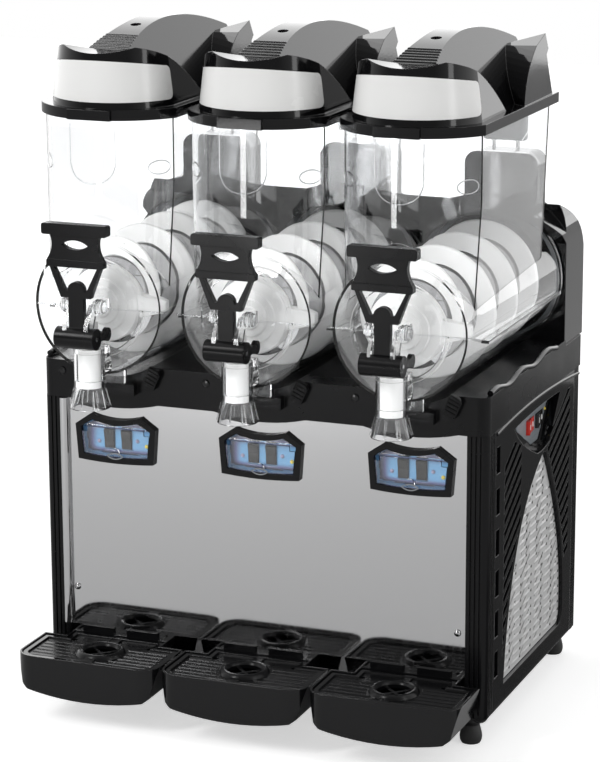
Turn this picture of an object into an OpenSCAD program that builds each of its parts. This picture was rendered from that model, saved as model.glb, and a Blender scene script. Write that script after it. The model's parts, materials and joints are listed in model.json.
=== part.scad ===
// Granita dispenser with three clear bowls on one cooling cabinet.
// Millimetres. Left to right is X, front to rear is Y, up is Z.
// Drawn with the steel front panel at y = 0, then shifted so that the
// origin is under the middle of the machine, on the floor.

/* [Bowl] */
// Outer radius of the bowl cylinder at its front disc
bowl_front_r = 86; // [80:1:92]
// How much the radius grows from the front disc to the rear rim
bowl_draft = 7; // [4:0.5:9]
// Length of the bowl cylinder
bowl_len = 364; // [340:1:390]
// Thickness of the clear bowl wall
bowl_wall = 3; // [2.5:0.25:4]
// Height of the lip of the rear flange over the cylinder
flange_lip = 2.5; // [1.5:0.25:4]
// Free space between the flanges of two neighbouring bowls
bowl_gap = 9; // [8:1:30]
// Height of the lid seat over the bowl axis
tank_h = 245; // [225:1:260]
// How much the radius of the curved front wall exceeds the tank's half width
front_round = 8; // [6:1:20]
// How much narrower the tank is at its front than at its rear, on each side
tank_taper = 4; // [0:0.5:6]
// How much the tank leans in on each side from top to bowl axis
tank_draft = 9; // [5:0.5:11]
// Clear space between the tank and the tower behind it
tank_rear_gap = 64; // [60:1:74]

/* [Tap] */
// Distance of the nozzle axis in front of the front disc
nozzle_reach = 27; // [26:0.5:32]
// Radius of the tap piston
piston_r = 14; // [12:0.5:15]
// Thickness of the nozzle tube wall around the product channel
tube_wall = 2.5; // [2:0.25:4]
// Width of the annular channel around the raised piston
channel = 3; // [2:0.5:4]
// Height of the nozzle bell
bell_h = 25; // [18:1:28]
// Radius of the nozzle bell at its mouth
bell_r = 25.5; // [23:0.5:28]
// Radius of the lever hinge pin
pin_r = 3; // [2.5:0.25:3.5]
// Distance from the hinge pin to the piston cross bar
crank = 33; // [32:0.5:36]
// Radius of the lever barrel
barrel_r = 13.5; // [12.5:0.5:14.5]
// Half width of the lever barrel
barrel_half = 26.5; // [26:0.5:29]
// Height of the lever top over the hinge pin
lever_h = 143; // [135:1:155]
// Half width of the lever grip bar
grip_half = 44; // [40:0.5:50]

/* [Auger] */
// Radius of the steel freezing drum
drum_r = 55; // [45:1:58]
// Gap between the drum and the spiral
scrape_gap = 2; // [1:0.25:4]
// Gap between the spiral and the bowl at the front disc
sweep_gap = 3; // [2:0.5:6]
// Advance of the spiral in one turn
auger_pitch = 88; // [70:1:110]
// Radius of the drive shaft
shaft_r = 6; // [5:0.5:8]

/* [Lid] */
// Height of the lid rim
rim_h = 13; // [11:0.5:16]
// Thickness of the lid shell
lid_wall = 2.5; // [2:0.25:3]
// Height of the arched spine over the lid rim
spine_h = 93; // [88:1:100]
// Half width of the arched spine at its front end
spine_half = 30; // [27:1:32]
// Height of the light panel at its middle
light_h = 52; // [46:1:54]

/* [Cabinet] */
// Height of the lower ends of the posts over the floor
foot_h = 33; // [28:1:45]
// Height of the cabinet from the posts' feet to the deck
post_h = 373; // [355:1:400]
// Width of the corner posts
post_w = 28; // [24:1:30]
// Depth of the cabinet
cab_d = 392; // [380:1:410]
// Thickness of steel panels
sheet = 1.2; // [0.8:0.1:2]
// Thickness of moulded plastic panels
shell = 3; // [2.5:0.25:4]
// Height of the deck over the posts
deck_h = 49; // [44:1:54]
// Height of the bowl axis over the deck underside
axis_h = 132; // [128:1:140]
// Depth of the casing behind the bowls
casing_d = 82; // [78:1:95]

/* [Controls] */
// Half width of the control bezel
bezel_half = 56; // [52:0.5:60]
// Height of the control bezel
bezel_h = 60; // [56:0.5:64]
// Width of the bezel frame
bezel_frame = 7.5; // [6:0.5:9]
// How far the bezel stands out of the panel
bezel_t = 6; // [5:0.5:8]
// Radius of the switch rockers
rocker_r = 13; // [11:0.5:14]

/* [Drip tray] */
// Depth of a drip tray from the panel to its front
tray_d = 115; // [105:1:130]
// Height of a drip tray rim over the floor
tray_z = 90; // [80:1:100]
// Height of a drip tray at its sides
tray_h = 45; // [40:1:52]
// Wall of a drip tray
tray_wall = 2.5; // [2:0.25:3]
// Radius of the raised ring on the drip grid
ring_r = 32; // [26:1:36]

/* [Hidden] */
$fn = 72;

// Clearances: seated pieces, running pins and free moving pieces
seat = 0.3;
run = 0.05;
free = 1.5;
// A small overlap that joins pieces of one solid or clears a cut
bite = 1;

// Bowl row
bowl_rear_r = bowl_front_r + bowl_draft;
flange_r = bowl_rear_r + flange_lip;
flange_t = 6;
pitch = 2 * flange_r + bowl_gap;
body_half = 1.5 * pitch;

// Heights
deck_z = foot_h + post_h;
axis_z = deck_z + axis_h;
tank_top = axis_z + tank_h;

// Depths, with the front panel at y = 0
apron_y = -8;
disc_y = -49;
bowl_end = disc_y + bowl_len;
wall_y = bowl_end + flange_t + bite;
casing_rear = wall_y + casing_d;
tank_rear = wall_y - tank_rear_gap;
tank_front = -57;
tank_half = pitch / 2 - 9;
tank_front_r = tank_half + front_round;
tank_arc_y = tank_front + tank_front_r;

// Tap
nozzle_y = disc_y - nozzle_reach;
chamber_r = piston_r + channel;
tube_r = chamber_r + tube_wall;
bell_z = deck_z + 10;
tube_z = bell_z + bell_h;
tube_top = tube_z + 51;
pin_z = tube_top + 19;
eye_y = nozzle_y + 1;
pin_y = eye_y - crank;
piston_fit = 0.6;
ear_x = 11.5;
ear_t = 6;
ear_r = 7.5;
arch_z = pin_z + 25;
arch_h = 15;
head_half = ear_x - 2 * free;
crossbar_r = 3;
slot_room = 0.8;
lift_angle = 30;
eye_travel = crank * (1 - cos(lift_angle));
lever_t = 9;
front_y = pin_y - barrel_r;
latch_z = deck_z + 28;
mid_y = (front_y + casing_rear) / 2;

// Auger
bowl_in_r = bowl_front_r - bowl_wall;
blade_in = drum_r + scrape_gap;
blade_out = bowl_in_r - sweep_gap;
drum_front = disc_y + 41;
blade_front = drum_front - 4;
boss_r = bowl_rear_r - bowl_wall - 6;
boss_y = wall_y - 10;
blade_rear = boss_y - 12;
hub_y = disc_y + bowl_wall + 4;
hub_r = drum_r - 7;

// Lid
rim_half = pitch / 2 - 4.5;
rim_z = tank_top - 8;
lid_z = rim_z + rim_h;
lid_inset = 3;
rim_arc_r = tank_front_r + 5;
rim_arc_y = tank_arc_y - 1;
rim_rear = tank_rear + 25;
tab_half = 29;
tab_proud = 1.5;
tab_d = 12;
box_half = rim_half - 13.5;
box_arc_r = box_half + 2;
box_arc_y = rim_arc_y - rim_arc_r + 7 + box_arc_r;
box_rear = 104;
box_h = spine_h - 17;
light_z = lid_z + 8;
light_t = 2.5;
light_d = 66;
light_fall = 10;
light_round = 9;
box_lean = 9;
saddle_dip = 9;
saddle_half = 54;
spine_front = -12;
spine_rear = rim_rear - 2;
spine_mid = (spine_front + spine_rear) / 2 + 6;
spine_drop = 30;
spine_r = (pow(spine_mid - spine_front, 2) + spine_drop * spine_drop) / (2 * spine_drop);
spine_lean = 31;
spine_yaw = -2.1;
rib_y = 3;
rib_step = 7;
rib_r = 2.5;
rib_count = 6;
spine_hole_y = 79;
spine_hole_r = 7;
block_front = 145;
block_yaw = 44;
block_tilt = [16, -20, 0];
block_corner = 47;
block_h = spine_h - 24;

// Cabinet
post_front = -4;
post_rear = cab_d - post_w;
post_x = body_half - post_w;
skirt_z = foot_h + 8;
ball_r = 11;
neck_r = 6;
sill_h = 42;
louvre_gap = 10;
panel_z = skirt_z + shell;
panel_x = body_half - 8;
shoulder_r = 115;
tower_x = 25;
tower_half = 47;
tower_top = rim_z - 66;
deck_round = 14;
panel_y0 = post_front + post_w + seat;
panel_y1 = post_rear - seat;
trough_r = flange_r + 2;

// Controls
bezel_z = deck_z - 34;
door_z = bezel_z + 2;
door_y = -bezel_t + 2;
box_d = 24;
plate_y = 9;
rocker_w = 13;
rocker_x = [-14, 10];
rocker_z = bezel_z - 19;
rocker_tilt = 8;
rocker_front = 5;

// Side switches
switch_x = body_half - 14;
switch_z = bezel_z - 6;
switch_r = 16.5;
switch_h = 18;
power_y = 210;
light_y = 249;

// Tray
tray_half = pitch / 2 - 2;
notch_w = 31;
notch_d = 24;
lip_half = 53.5;
lip_h = 9;
tray_bow = 9;
grid_t = 3;
grid_z = tray_z - 4;
ring_y = -tray_d / 2 - 4;
ring_w = 12;
ring_h = 6;
ring_bore = ring_r - ring_w + 1;
ridge_w = 14;
ridge_h = 2;
ridge_inset = 6;
grid_gap = 0.5;
drain_x = 54;
drain_y = -28;
drain_r = 4;
spoke_w = 4;
spoke_drop = 0.4;

// Colours
BLACK = "#1c1c1e";
GLOSS = "#242426";
STEEL = "#b4b6b8";
CLEAR = "#dfe6ea";
WHITE = "#f2f2f0";

// Points of a quadratic curve from a to c, drawn towards b
function curve(a, b, c, n = 10) =
  [for (k = [0:n]) let (t = k / n) (1 - t) * (1 - t) * a + 2 * t * (1 - t) * b + t * t * c];

// Places a drawing in the whole machine's frame
module place() {
  translate([0, -mid_y, 0]) children();
}

// Places a drawing at one bowl: 0 left, 1 centre, 2 right
module at_bowl(i) {
  place() translate([(i - 1) * pitch, 0, 0]) children();
}

// Extrudes an (x, z) drawing along y
module along_y(y0, y1) {
  translate([0, y1, 0]) rotate([90, 0, 0]) linear_extrude(y1 - y0) children();
}

// Extrudes a (y, z) drawing along x
module along_x(x0, x1) {
  translate([x0, 0, 0]) rotate([90, 0, 90]) linear_extrude(x1 - x0) children();
}

// A round bar or cone along y
module y_bar(r0, r1, y0, y1) {
  translate([0, y0, 0]) rotate([-90, 0, 0]) cylinder(r1 = r0, r2 = r1, h = y1 - y0);
}

// A round bar along x
module x_bar(r, x0, x1) {
  translate([x0, 0, 0]) rotate([0, 90, 0]) cylinder(r = r, h = x1 - x0);
}

// A flat rectangle with round corners, centred on x
module round_rect(half, y0, y1, r) {
  translate([-half + r, y0]) square([2 * (half - r), y1 - y0]);
  translate([-half, y0 + r]) square([2 * half, y1 - y0 - 2 * r]);
  for (sx = [-1, 1], y = [y0 + r, y1 - r]) translate([sx * (half - r), y]) circle(r);
}

// Copies to the left and right
module both_sides() {
  for (s = [0, 1]) mirror([s, 0, 0]) children();
}

// A plan outline with a round front, sides that open a little and a flat rear
module bowed_plan(half, taper, arc_r, arc_y, rear) {
  front = arc_y - arc_r - bite;
  intersection() {
    polygon([[taper - half, front], [half - taper, front], [half, rear], [-half, rear]]);
    union() {
      translate([0, arc_y]) circle(arc_r);
      translate([-half, arc_y]) square([2 * half, rear - arc_y]);
    }
  }
}

// Bowl

// Half width of the tank at height z
function tank_half_at(z) = tank_half - tank_draft * (tank_top - z) / tank_h;

// Tank walls: plan, front view and side view drawings cross to give the shape
module tank_block(inset, top) {
  low = tank_half_at(axis_z) - inset;
  high = tank_half_at(top) - inset;
  face = tank_front + inset;
  intersection() {
    translate([0, 0, axis_z]) linear_extrude(top - axis_z)
      bowed_plan(tank_half - inset, tank_taper, tank_front_r - inset, tank_arc_y, tank_rear - inset);
    along_y(tank_front - bite, tank_rear + bite)
      polygon([[-low, axis_z], [low, axis_z], [high, top], [-high, top]]);
    along_x(-tank_half, tank_half) polygon([
      [face, top], [face, axis_z + bowl_front_r + 24], [disc_y + inset, axis_z + bowl_front_r - 4],
      [disc_y + 9 + inset, axis_z], [tank_rear, axis_z], [tank_rear, top]
    ]);
  }
}

// Clear arch from the front disc to the lever's hinge pin
module tap_ear() {
  along_x(ear_x, ear_x + ear_t) {
    translate([pin_y, pin_z]) circle(ear_r);
    polygon([
      [disc_y + bite, arch_z], [pin_y + 18, arch_z], [pin_y + ear_r - bite, pin_z],
      [pin_y - ear_r, pin_z], [pin_y - ear_r + 2, pin_z + 18], [pin_y + 10, arch_z + arch_h],
      [disc_y + bite, arch_z + arch_h]
    ]);
  }
}

module bowl(i) {
  color(CLEAR) at_bowl(i) difference() {
    union() {
      translate([0, 0, axis_z]) {
        y_bar(bowl_front_r, bowl_rear_r, disc_y, bowl_end);
        y_bar(flange_r, flange_r, bowl_end - flange_t, bowl_end);
        y_bar(62, 64, disc_y - 2, disc_y + bite);
        translate([-flange_r, disc_y + 54, -18]) cube([2 * flange_r, bowl_len - 60, 4]);
      }
      tank_block(0, tank_top);
      translate([0, nozzle_y, tube_z]) cylinder(r = tube_r, h = tube_top - tube_z);
      translate([0, nozzle_y, bell_z]) cylinder(r1 = bell_r, r2 = tube_r, h = bell_h);
      translate([-tube_r + 2, nozzle_y, axis_z - bowl_front_r + 6])
        cube([2 * tube_r - 4, nozzle_reach + bite, tube_top - axis_z + bowl_front_r - 6]);
      both_sides() tap_ear();
      translate([-20, apron_y - 11, latch_z + seat]) cube([40, 9, axis_z - bowl_front_r - latch_z + 5]);
    }
    translate([0, 0, axis_z]) {
      y_bar(bowl_in_r, bowl_rear_r - bowl_wall, disc_y + bowl_wall, bowl_end + bite);
      y_bar(59, 57, disc_y - 3, disc_y + bite - 1);
    }
    tank_block(bowl_wall, tank_top + bite);
    translate([0, nozzle_y, bell_z - bite]) cylinder(r = piston_r + piston_fit, h = tube_top);
    translate([0, nozzle_y, tube_z + 10]) cylinder(r = chamber_r, h = tube_top - tube_z - 16);
    translate([0, nozzle_y, bell_z - bite])
      cylinder(r1 = bell_r - tube_wall, r2 = piston_r + piston_fit, h = bell_h);
    translate([0, 0, axis_z - bowl_in_r + 15])
      y_bar(10, 10, nozzle_y, disc_y + bowl_wall + bite);
    translate([0, pin_y, pin_z]) x_bar(pin_r + run, -2 * barrel_half, 2 * barrel_half);
  }
}

// Tap

module tap_pin(i) {
  color(STEEL) at_bowl(i) translate([0, pin_y, pin_z]) x_bar(pin_r, -barrel_half, barrel_half);
}

// Front view of the lever plate: grip neck, yoke with its window, stem
module lever_face() {
  top = pin_z + lever_h;
  fold = top - 45;
  waist = top - 92;
  difference() {
    union() {
      polygon(concat(
        curve([grip_half - 8, top - 8], [grip_half - 19, top - 27], [grip_half - 6, fold]),
        [[20, waist], [-20, waist]],
        curve([6 - grip_half, fold], [19 - grip_half, top - 27], [8 - grip_half, top - 8])
      ));
      translate([-10, pin_z]) square([20, waist - pin_z + bite]);
    }
    intersection() {
      translate([0, top - 26 - 24]) circle(30);
      translate([0, top - 26 + 24]) circle(30);
    }
    difference() {
      polygon([[-30, fold - 8], [30, fold - 8], [15, waist + 9], [-15, waist + 9]]);
      translate([0, waist + 9]) circle(11);
    }
  }
}

module tap_lever(i) {
  color(BLACK) at_bowl(i) {
    plate_y0 = pin_y + 2 - lever_t / 2;
    difference() {
      union() {
        along_y(plate_y0, plate_y0 + lever_t) lever_face();
        along_y(plate_y0 - 2, plate_y0 + lever_t + 2) translate([0, pin_z + lever_h - 14])
          round_rect(grip_half, 0, 14, 3);
        along_y(plate_y0 - bite, plate_y0 + lever_t + bite) translate([0, pin_z + lever_h - 54])
          round_rect(grip_half - 5.5, 0, 9, 2);
        translate([0, pin_y, pin_z]) x_bar(barrel_r, -barrel_half, barrel_half);
        both_sides() along_x(tube_r + free, barrel_half) {
          translate([eye_y, pin_z]) circle(8.5);
          translate([pin_y, pin_z - 5]) square([crank, 10]);
        }
        translate([0, eye_y, pin_z]) x_bar(crossbar_r, -barrel_half, barrel_half);
      }
      translate([0, pin_y, pin_z]) x_bar(pin_r + run, -barrel_half - bite, barrel_half + bite);
      both_sides() along_x(ear_x - free / 2, ear_x + ear_t + free / 2) translate([pin_y, pin_z]) {
        circle(ear_r + free / 2);
        translate([-ear_r - free / 2, -ear_r - free / 2]) square([crank, 2 * barrel_r]);
      }
    }
  }
}

module tap_piston(i) {
  head_z = tube_top + 6;
  color(WHITE) at_bowl(i) difference() {
    union() {
      translate([0, nozzle_y, tube_z + bite]) cylinder(r = piston_r, h = tube_top - tube_z + bite);
      translate([0, nozzle_y, tube_top]) cylinder(r = head_half - bite, h = 8);
      translate([-head_half, eye_y - eye_travel - 7, head_z]) cube([2 * head_half, eye_travel + 16, 26]);
    }
    along_x(-barrel_half, barrel_half)
      translate([eye_y - eye_travel - crossbar_r - slot_room, pin_z - crossbar_r - slot_room])
        square([eye_travel + 2 * (crossbar_r + slot_room), 2 * (crossbar_r + slot_room)]);
  }
}

// Auger

// One corner of the spiral blade's section at turn angle a and place y
function blade_point(r, a, y) = [r * cos(a), y, axis_z + r * sin(a)];

module auger_blade() {
  root = 11;
  tip = 6;
  steps = 24;
  span = blade_rear - blade_front;
  n = ceil(steps * span / auger_pitch);
  rings = [for (k = [0:n]) let (a = 360 * span * k / (n * auger_pitch), y = blade_front + span * k / n) [
    blade_point(blade_in, a, y - root / 2), blade_point(blade_out, a, y - tip / 2),
    blade_point(blade_out, a, y + tip / 2), blade_point(blade_in, a, y + root / 2)
  ]];
  points = [for (ring = rings) each ring];
  sides = [for (k = [0:n - 1], s = [0:3]) let (p = 4 * k + s, q = 4 * k + (s + 1) % 4) each [
    [p, q + 4, q], [p, p + 4, q + 4]
  ]];
  ends = [[0, 2, 3], [0, 1, 2], [4 * n, 4 * n + 2, 4 * n + 1], [4 * n, 4 * n + 3, 4 * n + 2]];
  polyhedron(points, concat(sides, ends));
}

module auger(i) {
  color(WHITE) at_bowl(i) difference() {
    union() {
      auger_blade();
      translate([0, 0, axis_z]) {
        y_bar(hub_r * 0.4, hub_r, hub_y, hub_y + 12);
        y_bar(hub_r, hub_r, hub_y + 12, drum_front - free);
        translate([0, hub_y + 13, -9]) cube([blade_out - 2, 15, 18]);
      }
    }
    translate([0, 0, axis_z]) y_bar(shaft_r + run, shaft_r + run, hub_y + 8, drum_front + bite);
  }
}

module drive_shaft(i) {
  color(STEEL) at_bowl(i) translate([0, 0, axis_z]) {
    y_bar(shaft_r, shaft_r, hub_y + 9, wall_y + 26);
  }
}

module evaporators() {
  color(STEEL) for (i = [0:2]) at_bowl(i) translate([0, 0, axis_z]) difference() {
    union() {
      y_bar(drum_r, drum_r, drum_front + 6, boss_y);
      y_bar(drum_r - 8, drum_r, drum_front, drum_front + 6);
    }
    y_bar(shaft_r + run, shaft_r + run, drum_front - bite, boss_y + bite);
    difference() {
      y_bar(drum_r - 2, drum_r - 2, drum_front + 12, boss_y + bite);
      y_bar(shaft_r + 5, shaft_r + 5, drum_front, boss_y + bite);
    }
  }
}

module bowl_gaskets() {
  color("#8e9498") for (i = [0:2]) at_bowl(i) translate([0, 0, axis_z]) difference() {
    y_bar(bowl_rear_r - bowl_wall - 0.8, bowl_rear_r - bowl_wall - 0.8, boss_y + 1, wall_y - seat);
    y_bar(boss_r + seat, boss_r + seat, boss_y, wall_y);
  }
}

module gearmotors() {
  gear_y = wall_y + shell;
  color("#6d7073") for (i = [0:2]) at_bowl(i) translate([0, 0, axis_z]) difference() {
    union() {
      translate([-45, gear_y, -48]) cube([90, 30, 92]);
      translate([0, 0, -14]) y_bar(32, 32, gear_y + 30, gear_y + 66);
    }
    y_bar(shaft_r + run, shaft_r + run, gear_y - bite, wall_y + 28);
  }
}

// Lid

// Plan of the lid rim
module rim_plan(inset) {
  bowed_plan(rim_half - inset, tank_taper, rim_arc_r - inset, rim_arc_y, rim_rear - inset);
}

// Radius of the light box's round front at height z, smaller towards the top
function box_r(z) = box_arc_r - box_lean * (z - lid_z) / box_h;

// Half width of the light box at height z
function box_half_at(z) = box_half - box_lean * (z - lid_z) / box_h;

// Leaning walls of the light box between two heights
module box_walls(inset, z0, z1) {
  w0 = box_half_at(z0) - inset;
  w1 = box_half_at(z1) - inset;
  intersection() {
    union() {
      translate([0, box_arc_y, z0])
        cylinder(r1 = box_r(z0) - inset, r2 = box_r(z1) - inset, h = z1 - z0);
      translate([-box_half, box_arc_y, z0]) cube([2 * box_half, box_rear - box_arc_y - inset, z1 - z0]);
    }
    along_y(box_arc_y - box_arc_r - bite, box_rear) polygon([[-w0, z0], [w0, z0], [w1, z1], [-w1, z1]]);
  }
}

// Light box with its sloping shoulders and the dip in its front lip
module lid_box(inset) {
  top = lid_z + box_h - inset;
  low = inset == 0 ? lid_z - bite : rim_z - bite;
  front = box_arc_y - box_arc_r - 2 * bite;
  dip_r = (saddle_half * saddle_half + saddle_dip * saddle_dip) / (2 * saddle_dip);
  difference() {
    intersection() {
      box_walls(inset, low, top);
      along_x(-box_half, box_half) polygon(concat(
        [[front, low], [front, top]],
        curve([-35, top], [40, top - 0.25 * box_h], [box_rear, lid_z - inset]),
        [[box_rear, low]]
      ));
    }
    translate([0, 0, top - saddle_dip + dip_r]) y_bar(dip_r, dip_r, front, 30);
  }
}

// How far the arched spine lies below its highest line at depth y
function spine_fall(y) = spine_r - sqrt(spine_r * spine_r - pow(y - spine_mid, 2));

// Arched spine along the middle of the lid: a part of a large drum between two leaning walls,
// with grip ribs across its front
module lid_spine(inset) {
  top = lid_z + spine_h - inset;
  low = inset == 0 ? lid_z - bite : rim_z - bite;
  front = spine_front + inset;
  rear = spine_rear - inset;
  difference() {
    intersection() {
      union() {
        translate([0, spine_mid, top - spine_r]) x_bar(spine_r, -tank_half, tank_half, $fn = 360);
        if (inset == 0) for (k = [0:rib_count - 1]) let (y = rib_y + k * rib_step)
          translate([0, y, top - spine_fall(y) - rib_r / 2]) x_bar(rib_r, -spine_half, spine_half);
      }
      translate([-tank_half, front, low]) cube([2 * tank_half, rear - front, 2 * spine_h]);
    }
    both_sides() translate([spine_half - inset, spine_front, top - spine_drop])
      rotate([0, -spine_lean, spine_yaw]) translate([0, -pitch, -pitch])
        cube([pitch, 4 * pitch, 2 * pitch]);
  }
}

// Block at the rear right of the lid, over the lamp plug: a wall that runs diagonally to
// the spine and curves back, under a top that rises outwards
module lid_block(inset) {
  outer = rim_half - 3;
  top = lid_z + block_h - inset;
  low = inset == 0 ? lid_z - bite : rim_z - bite;
  rear = rim_rear - 19 - inset;
  high = lid_z + 2 * spine_h;
  intersection() {
    along_x(-bite, outer - inset) polygon([
      [0, low], [0, high], [rear - 47, top + 30], [rear - 21, top - 9], [rear - 28, top - 16],
      [rear, lid_z], [rear, low]
    ]);
    translate([outer, block_front, 0]) rotate([0, 0, -block_yaw]) along_x(-pitch, pitch)
      translate([inset, 0]) polygon(concat(
        [[0, low]],
        curve([0, lid_z], [2, lid_z + 0.6 * block_h], [34, lid_z + block_h]),
        [[100, high], [2 * pitch, high], [2 * pitch, low]]
      ));
    translate([outer, block_front + block_corner, top]) rotate(block_tilt)
      translate([-pitch, -pitch, -2 * pitch]) cube(2 * pitch);
  }
}

// Band of the light panel: from a face that stands out to its back, with a clearance.
// Its top falls to both ends, which are rounded
module light_band(proud, gap) {
  front = box_arc_y - box_arc_r - 2 * bite;
  rear = box_arc_y - box_arc_r + light_d + gap;
  z0 = light_z - gap;
  z1 = light_z + light_h + gap;
  end = z1 - light_fall;
  intersection() {
    difference() {
      box_walls(-proud, z0, z1);
      box_walls(light_t + gap, z0 - bite, z1 + bite);
    }
    along_x(-2 * box_half, 2 * box_half) polygon(concat(
      [[front, z1], [front, z0]],
      curve([rear - light_round, z0], [rear, z0], [rear, z0 + light_round], 5),
      curve([rear, end - light_round], [rear, end], [rear - light_round, end], 5)
    ));
  }
}

module lid(i) {
  color(GLOSS) at_bowl(i) difference() {
    union() {
      translate([0, 0, rim_z]) linear_extrude(rim_h) rim_plan(0);
      translate([-tab_half, rim_arc_y - rim_arc_r - tab_proud, rim_z]) cube([2 * tab_half, tab_d, rim_h]);
      lid_box(0);
      lid_spine(0);
      lid_block(0);
    }
    translate([0, 0, rim_z - bite]) linear_extrude(tank_top + seat - rim_z + bite) rim_plan(lid_inset);
    difference() {
      lid_box(lid_wall + light_t + 1);
      translate([-tank_half, box_rear - 4, rim_z]) cube([2 * tank_half, 60, 2 * spine_h]);
    }
    lid_spine(lid_wall);
    lid_block(lid_wall);
    light_band(bite, 0.2);
    translate([0, spine_hole_y, lid_z + box_h]) cylinder(r = spine_hole_r, h = spine_h);
  }
}

module lid_light(i) {
  color(WHITE) at_bowl(i) light_band(0.6, 0);
}

// Cabinet

module feet() {
  color(BLACK) place() for (sx = [-1, 1], y = [post_front + post_w, cab_d - ball_r])
    translate([sx * post_x, y, 0]) rotate_extrude() polygon(concat(
      [[0, 0], [12, 0]],
      curve([12, 0], [16, 6], [13, 16], 6),
      [[11, 24], [neck_r, 26], [neck_r, skirt_z], [0, skirt_z]]
    ));
}

// Section of a grooved corner post, outer corner towards +x and -y
module post_section() {
  groove = 2;
  difference() {
    union() {
      square([post_w - 8, post_w]);
      translate([0, 8]) square([post_w, post_w - 8]);
      translate([post_w - 8, 8]) circle(8);
    }
    for (k = [0:2]) translate([5 + 6 * k, -bite]) square([groove, groove + bite]);
    for (k = [0:2]) translate([post_w - groove, 9 + 6 * k]) square([groove + bite, groove]);
  }
}

module corner_posts() {
  h = deck_z - skirt_z;
  color(BLACK) place() both_sides() for (rear = [0, 1])
    translate([0, rear == 0 ? post_front : cab_d, 0]) mirror([0, rear, 0]) {
      translate([post_x, 0, skirt_z]) linear_extrude(h) post_section();
      translate([body_half - ball_r, ball_r, foot_h + ball_r]) sphere(ball_r);
    }
}

module base_pan() {
  half = panel_x - shell - seat;
  y0 = sheet;
  y1 = cab_d - sheet;
  color("#9a9c9e") place() difference() {
    translate([-half, y0, skirt_z]) cube([2 * half, y1 - y0, 18]);
    translate([-half + sheet, y0 + sheet, panel_z]) cube([2 * (half - sheet), y1 - y0 - 2 * sheet, 18]);
    both_sides() for (y = [post_front, post_rear]) translate([post_x, y - bite, skirt_z - bite])
      cube([post_w, post_w + 2 * bite, 20]);
  }
}

// Outline of the control bezel: notched top corners, dipped top, bowed foot
module bezel_outline(inset) {
  h = bezel_h - inset;
  half = bezel_half - inset;
  top = 14.6 - inset;
  polygon(concat(
    [[half, -0.4 * inset], [35 - 0.5 * inset, top]],
    curve([35 - 0.5 * inset, top], [0, top - 11], [0.5 * inset - 35, top]),
    [[-half, -0.4 * inset], [-half + 3.5, inset - 46]],
    curve([-half + 3.5, inset - 46], [0, 14.6 - h - 6], [half - 3.5, inset - 46])
  ));
}

module front_panel() {
  color(STEEL) place() difference() {
    translate([-post_x + seat, 0, skirt_z]) cube([2 * (post_x - seat), sheet, deck_z - skirt_z]);
    for (i = [0:2]) along_y(-bite, sheet + bite) translate([(i - 1) * pitch, bezel_z])
      bezel_outline(bezel_frame);
  }
}

// Leaf-shaped outline of the air filter on a side panel, as (y, z)
module leaf(grow) {
  tip = [230, deck_z - 78 + grow];
  foot = [68 - grow, skirt_z + 25 - grow];
  heel = [326 + grow, skirt_z + 25 - grow];
  polygon(concat(
    [foot],
    curve(heel - [16, 0], heel, heel + [0, 20], 6),
    curve(heel + [0, 28], [332 + grow, deck_z - 210], tip + [8, -3]),
    [tip],
    curve(tip - [8, 3], [95 - grow, deck_z - 140], foot + [0, 4])
  ));
}

// Shield-shaped field over the filter, as (y, z)
module shield() {
  low = [210, deck_z - 72];
  polygon(concat(
    curve([36, deck_z - bite], [190, deck_z], [360, deck_z - bite], 4),
    curve([360, deck_z - bite], [300, deck_z - 50], low, 8),
    curve(low, [110, deck_z - 40], [36, deck_z - bite], 8)
  ));
}

// Recess for the switches inside the shield, as (y, z)
module recess(grow) {
  left = [100 - 2 * grow, deck_z - 16 + grow];
  right = [300 + grow, deck_z - 14 + grow];
  polygon(concat(
    curve(left, [200, deck_z - 9 + grow], right, 6),
    curve([254 + grow, deck_z - 70 - grow], [228, deck_z - 76 - grow], [206, deck_z - 74 - grow], 4),
    curve([200 - grow, deck_z - 73 - grow], [125 - grow, deck_z - 46 - grow], left, 6)
  ));
}

// Slanted louvre openings on both sides of the filter, as (y, z)
module louvres() {
  step = 17;
  n = floor((deck_z - skirt_z - 120) / step);
  intersection() {
    difference() {
      translate([62, skirt_z + 50]) square([292, deck_z - skirt_z - 70]);
      leaf(12);
      shield();
    }
    for (k = [0:n]) translate([62, skirt_z + 62 + step * k]) {
      polygon([[0, 0], [70, 38], [70, 38 + louvre_gap], [0, louvre_gap]]);
      translate([160, 0]) polygon([[0, 0], [125, 60], [125, 60 + louvre_gap], [0, louvre_gap]]);
    }
  }
}

// Column of upright slots behind the front post, as (y, z)
module side_slots() {
  for (k = [0:5]) translate([28, deck_z - 56 - 53 * k]) square([15, 34]);
}

module side_sheet() {
  along_x(panel_x, body_half) difference() {
    translate([panel_y0, skirt_z]) square([panel_y1 - panel_y0, deck_z - skirt_z]);
    leaf(0.4);
    louvres();
    side_slots();
  }
  along_x(panel_x - shell, panel_x) difference() {
    leaf(8);
    leaf(-8);
  }
}

module side_panel_left() {
  color(GLOSS) place() mirror([1, 0, 0]) side_sheet();
}

// Opening of a rocker switch of that width and height in its plate
module rocker_hole(w, h) {
  square([w + 2 * 0.4, h + 2 * 0.4], center = true);
}

module side_panel_right() {
  color(GLOSS) place() {
    difference() {
      union() {
        side_sheet();
        along_x(switch_x - shell, panel_x) recess(shell);
      }
      along_x(switch_x, body_half + bite) recess(0);
      for (y = [power_y, light_y]) along_x(switch_x - shell - bite, switch_x + bite)
        translate([y, switch_z]) rocker_hole(2 * switch_r, switch_h);
    }
  }
}

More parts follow.
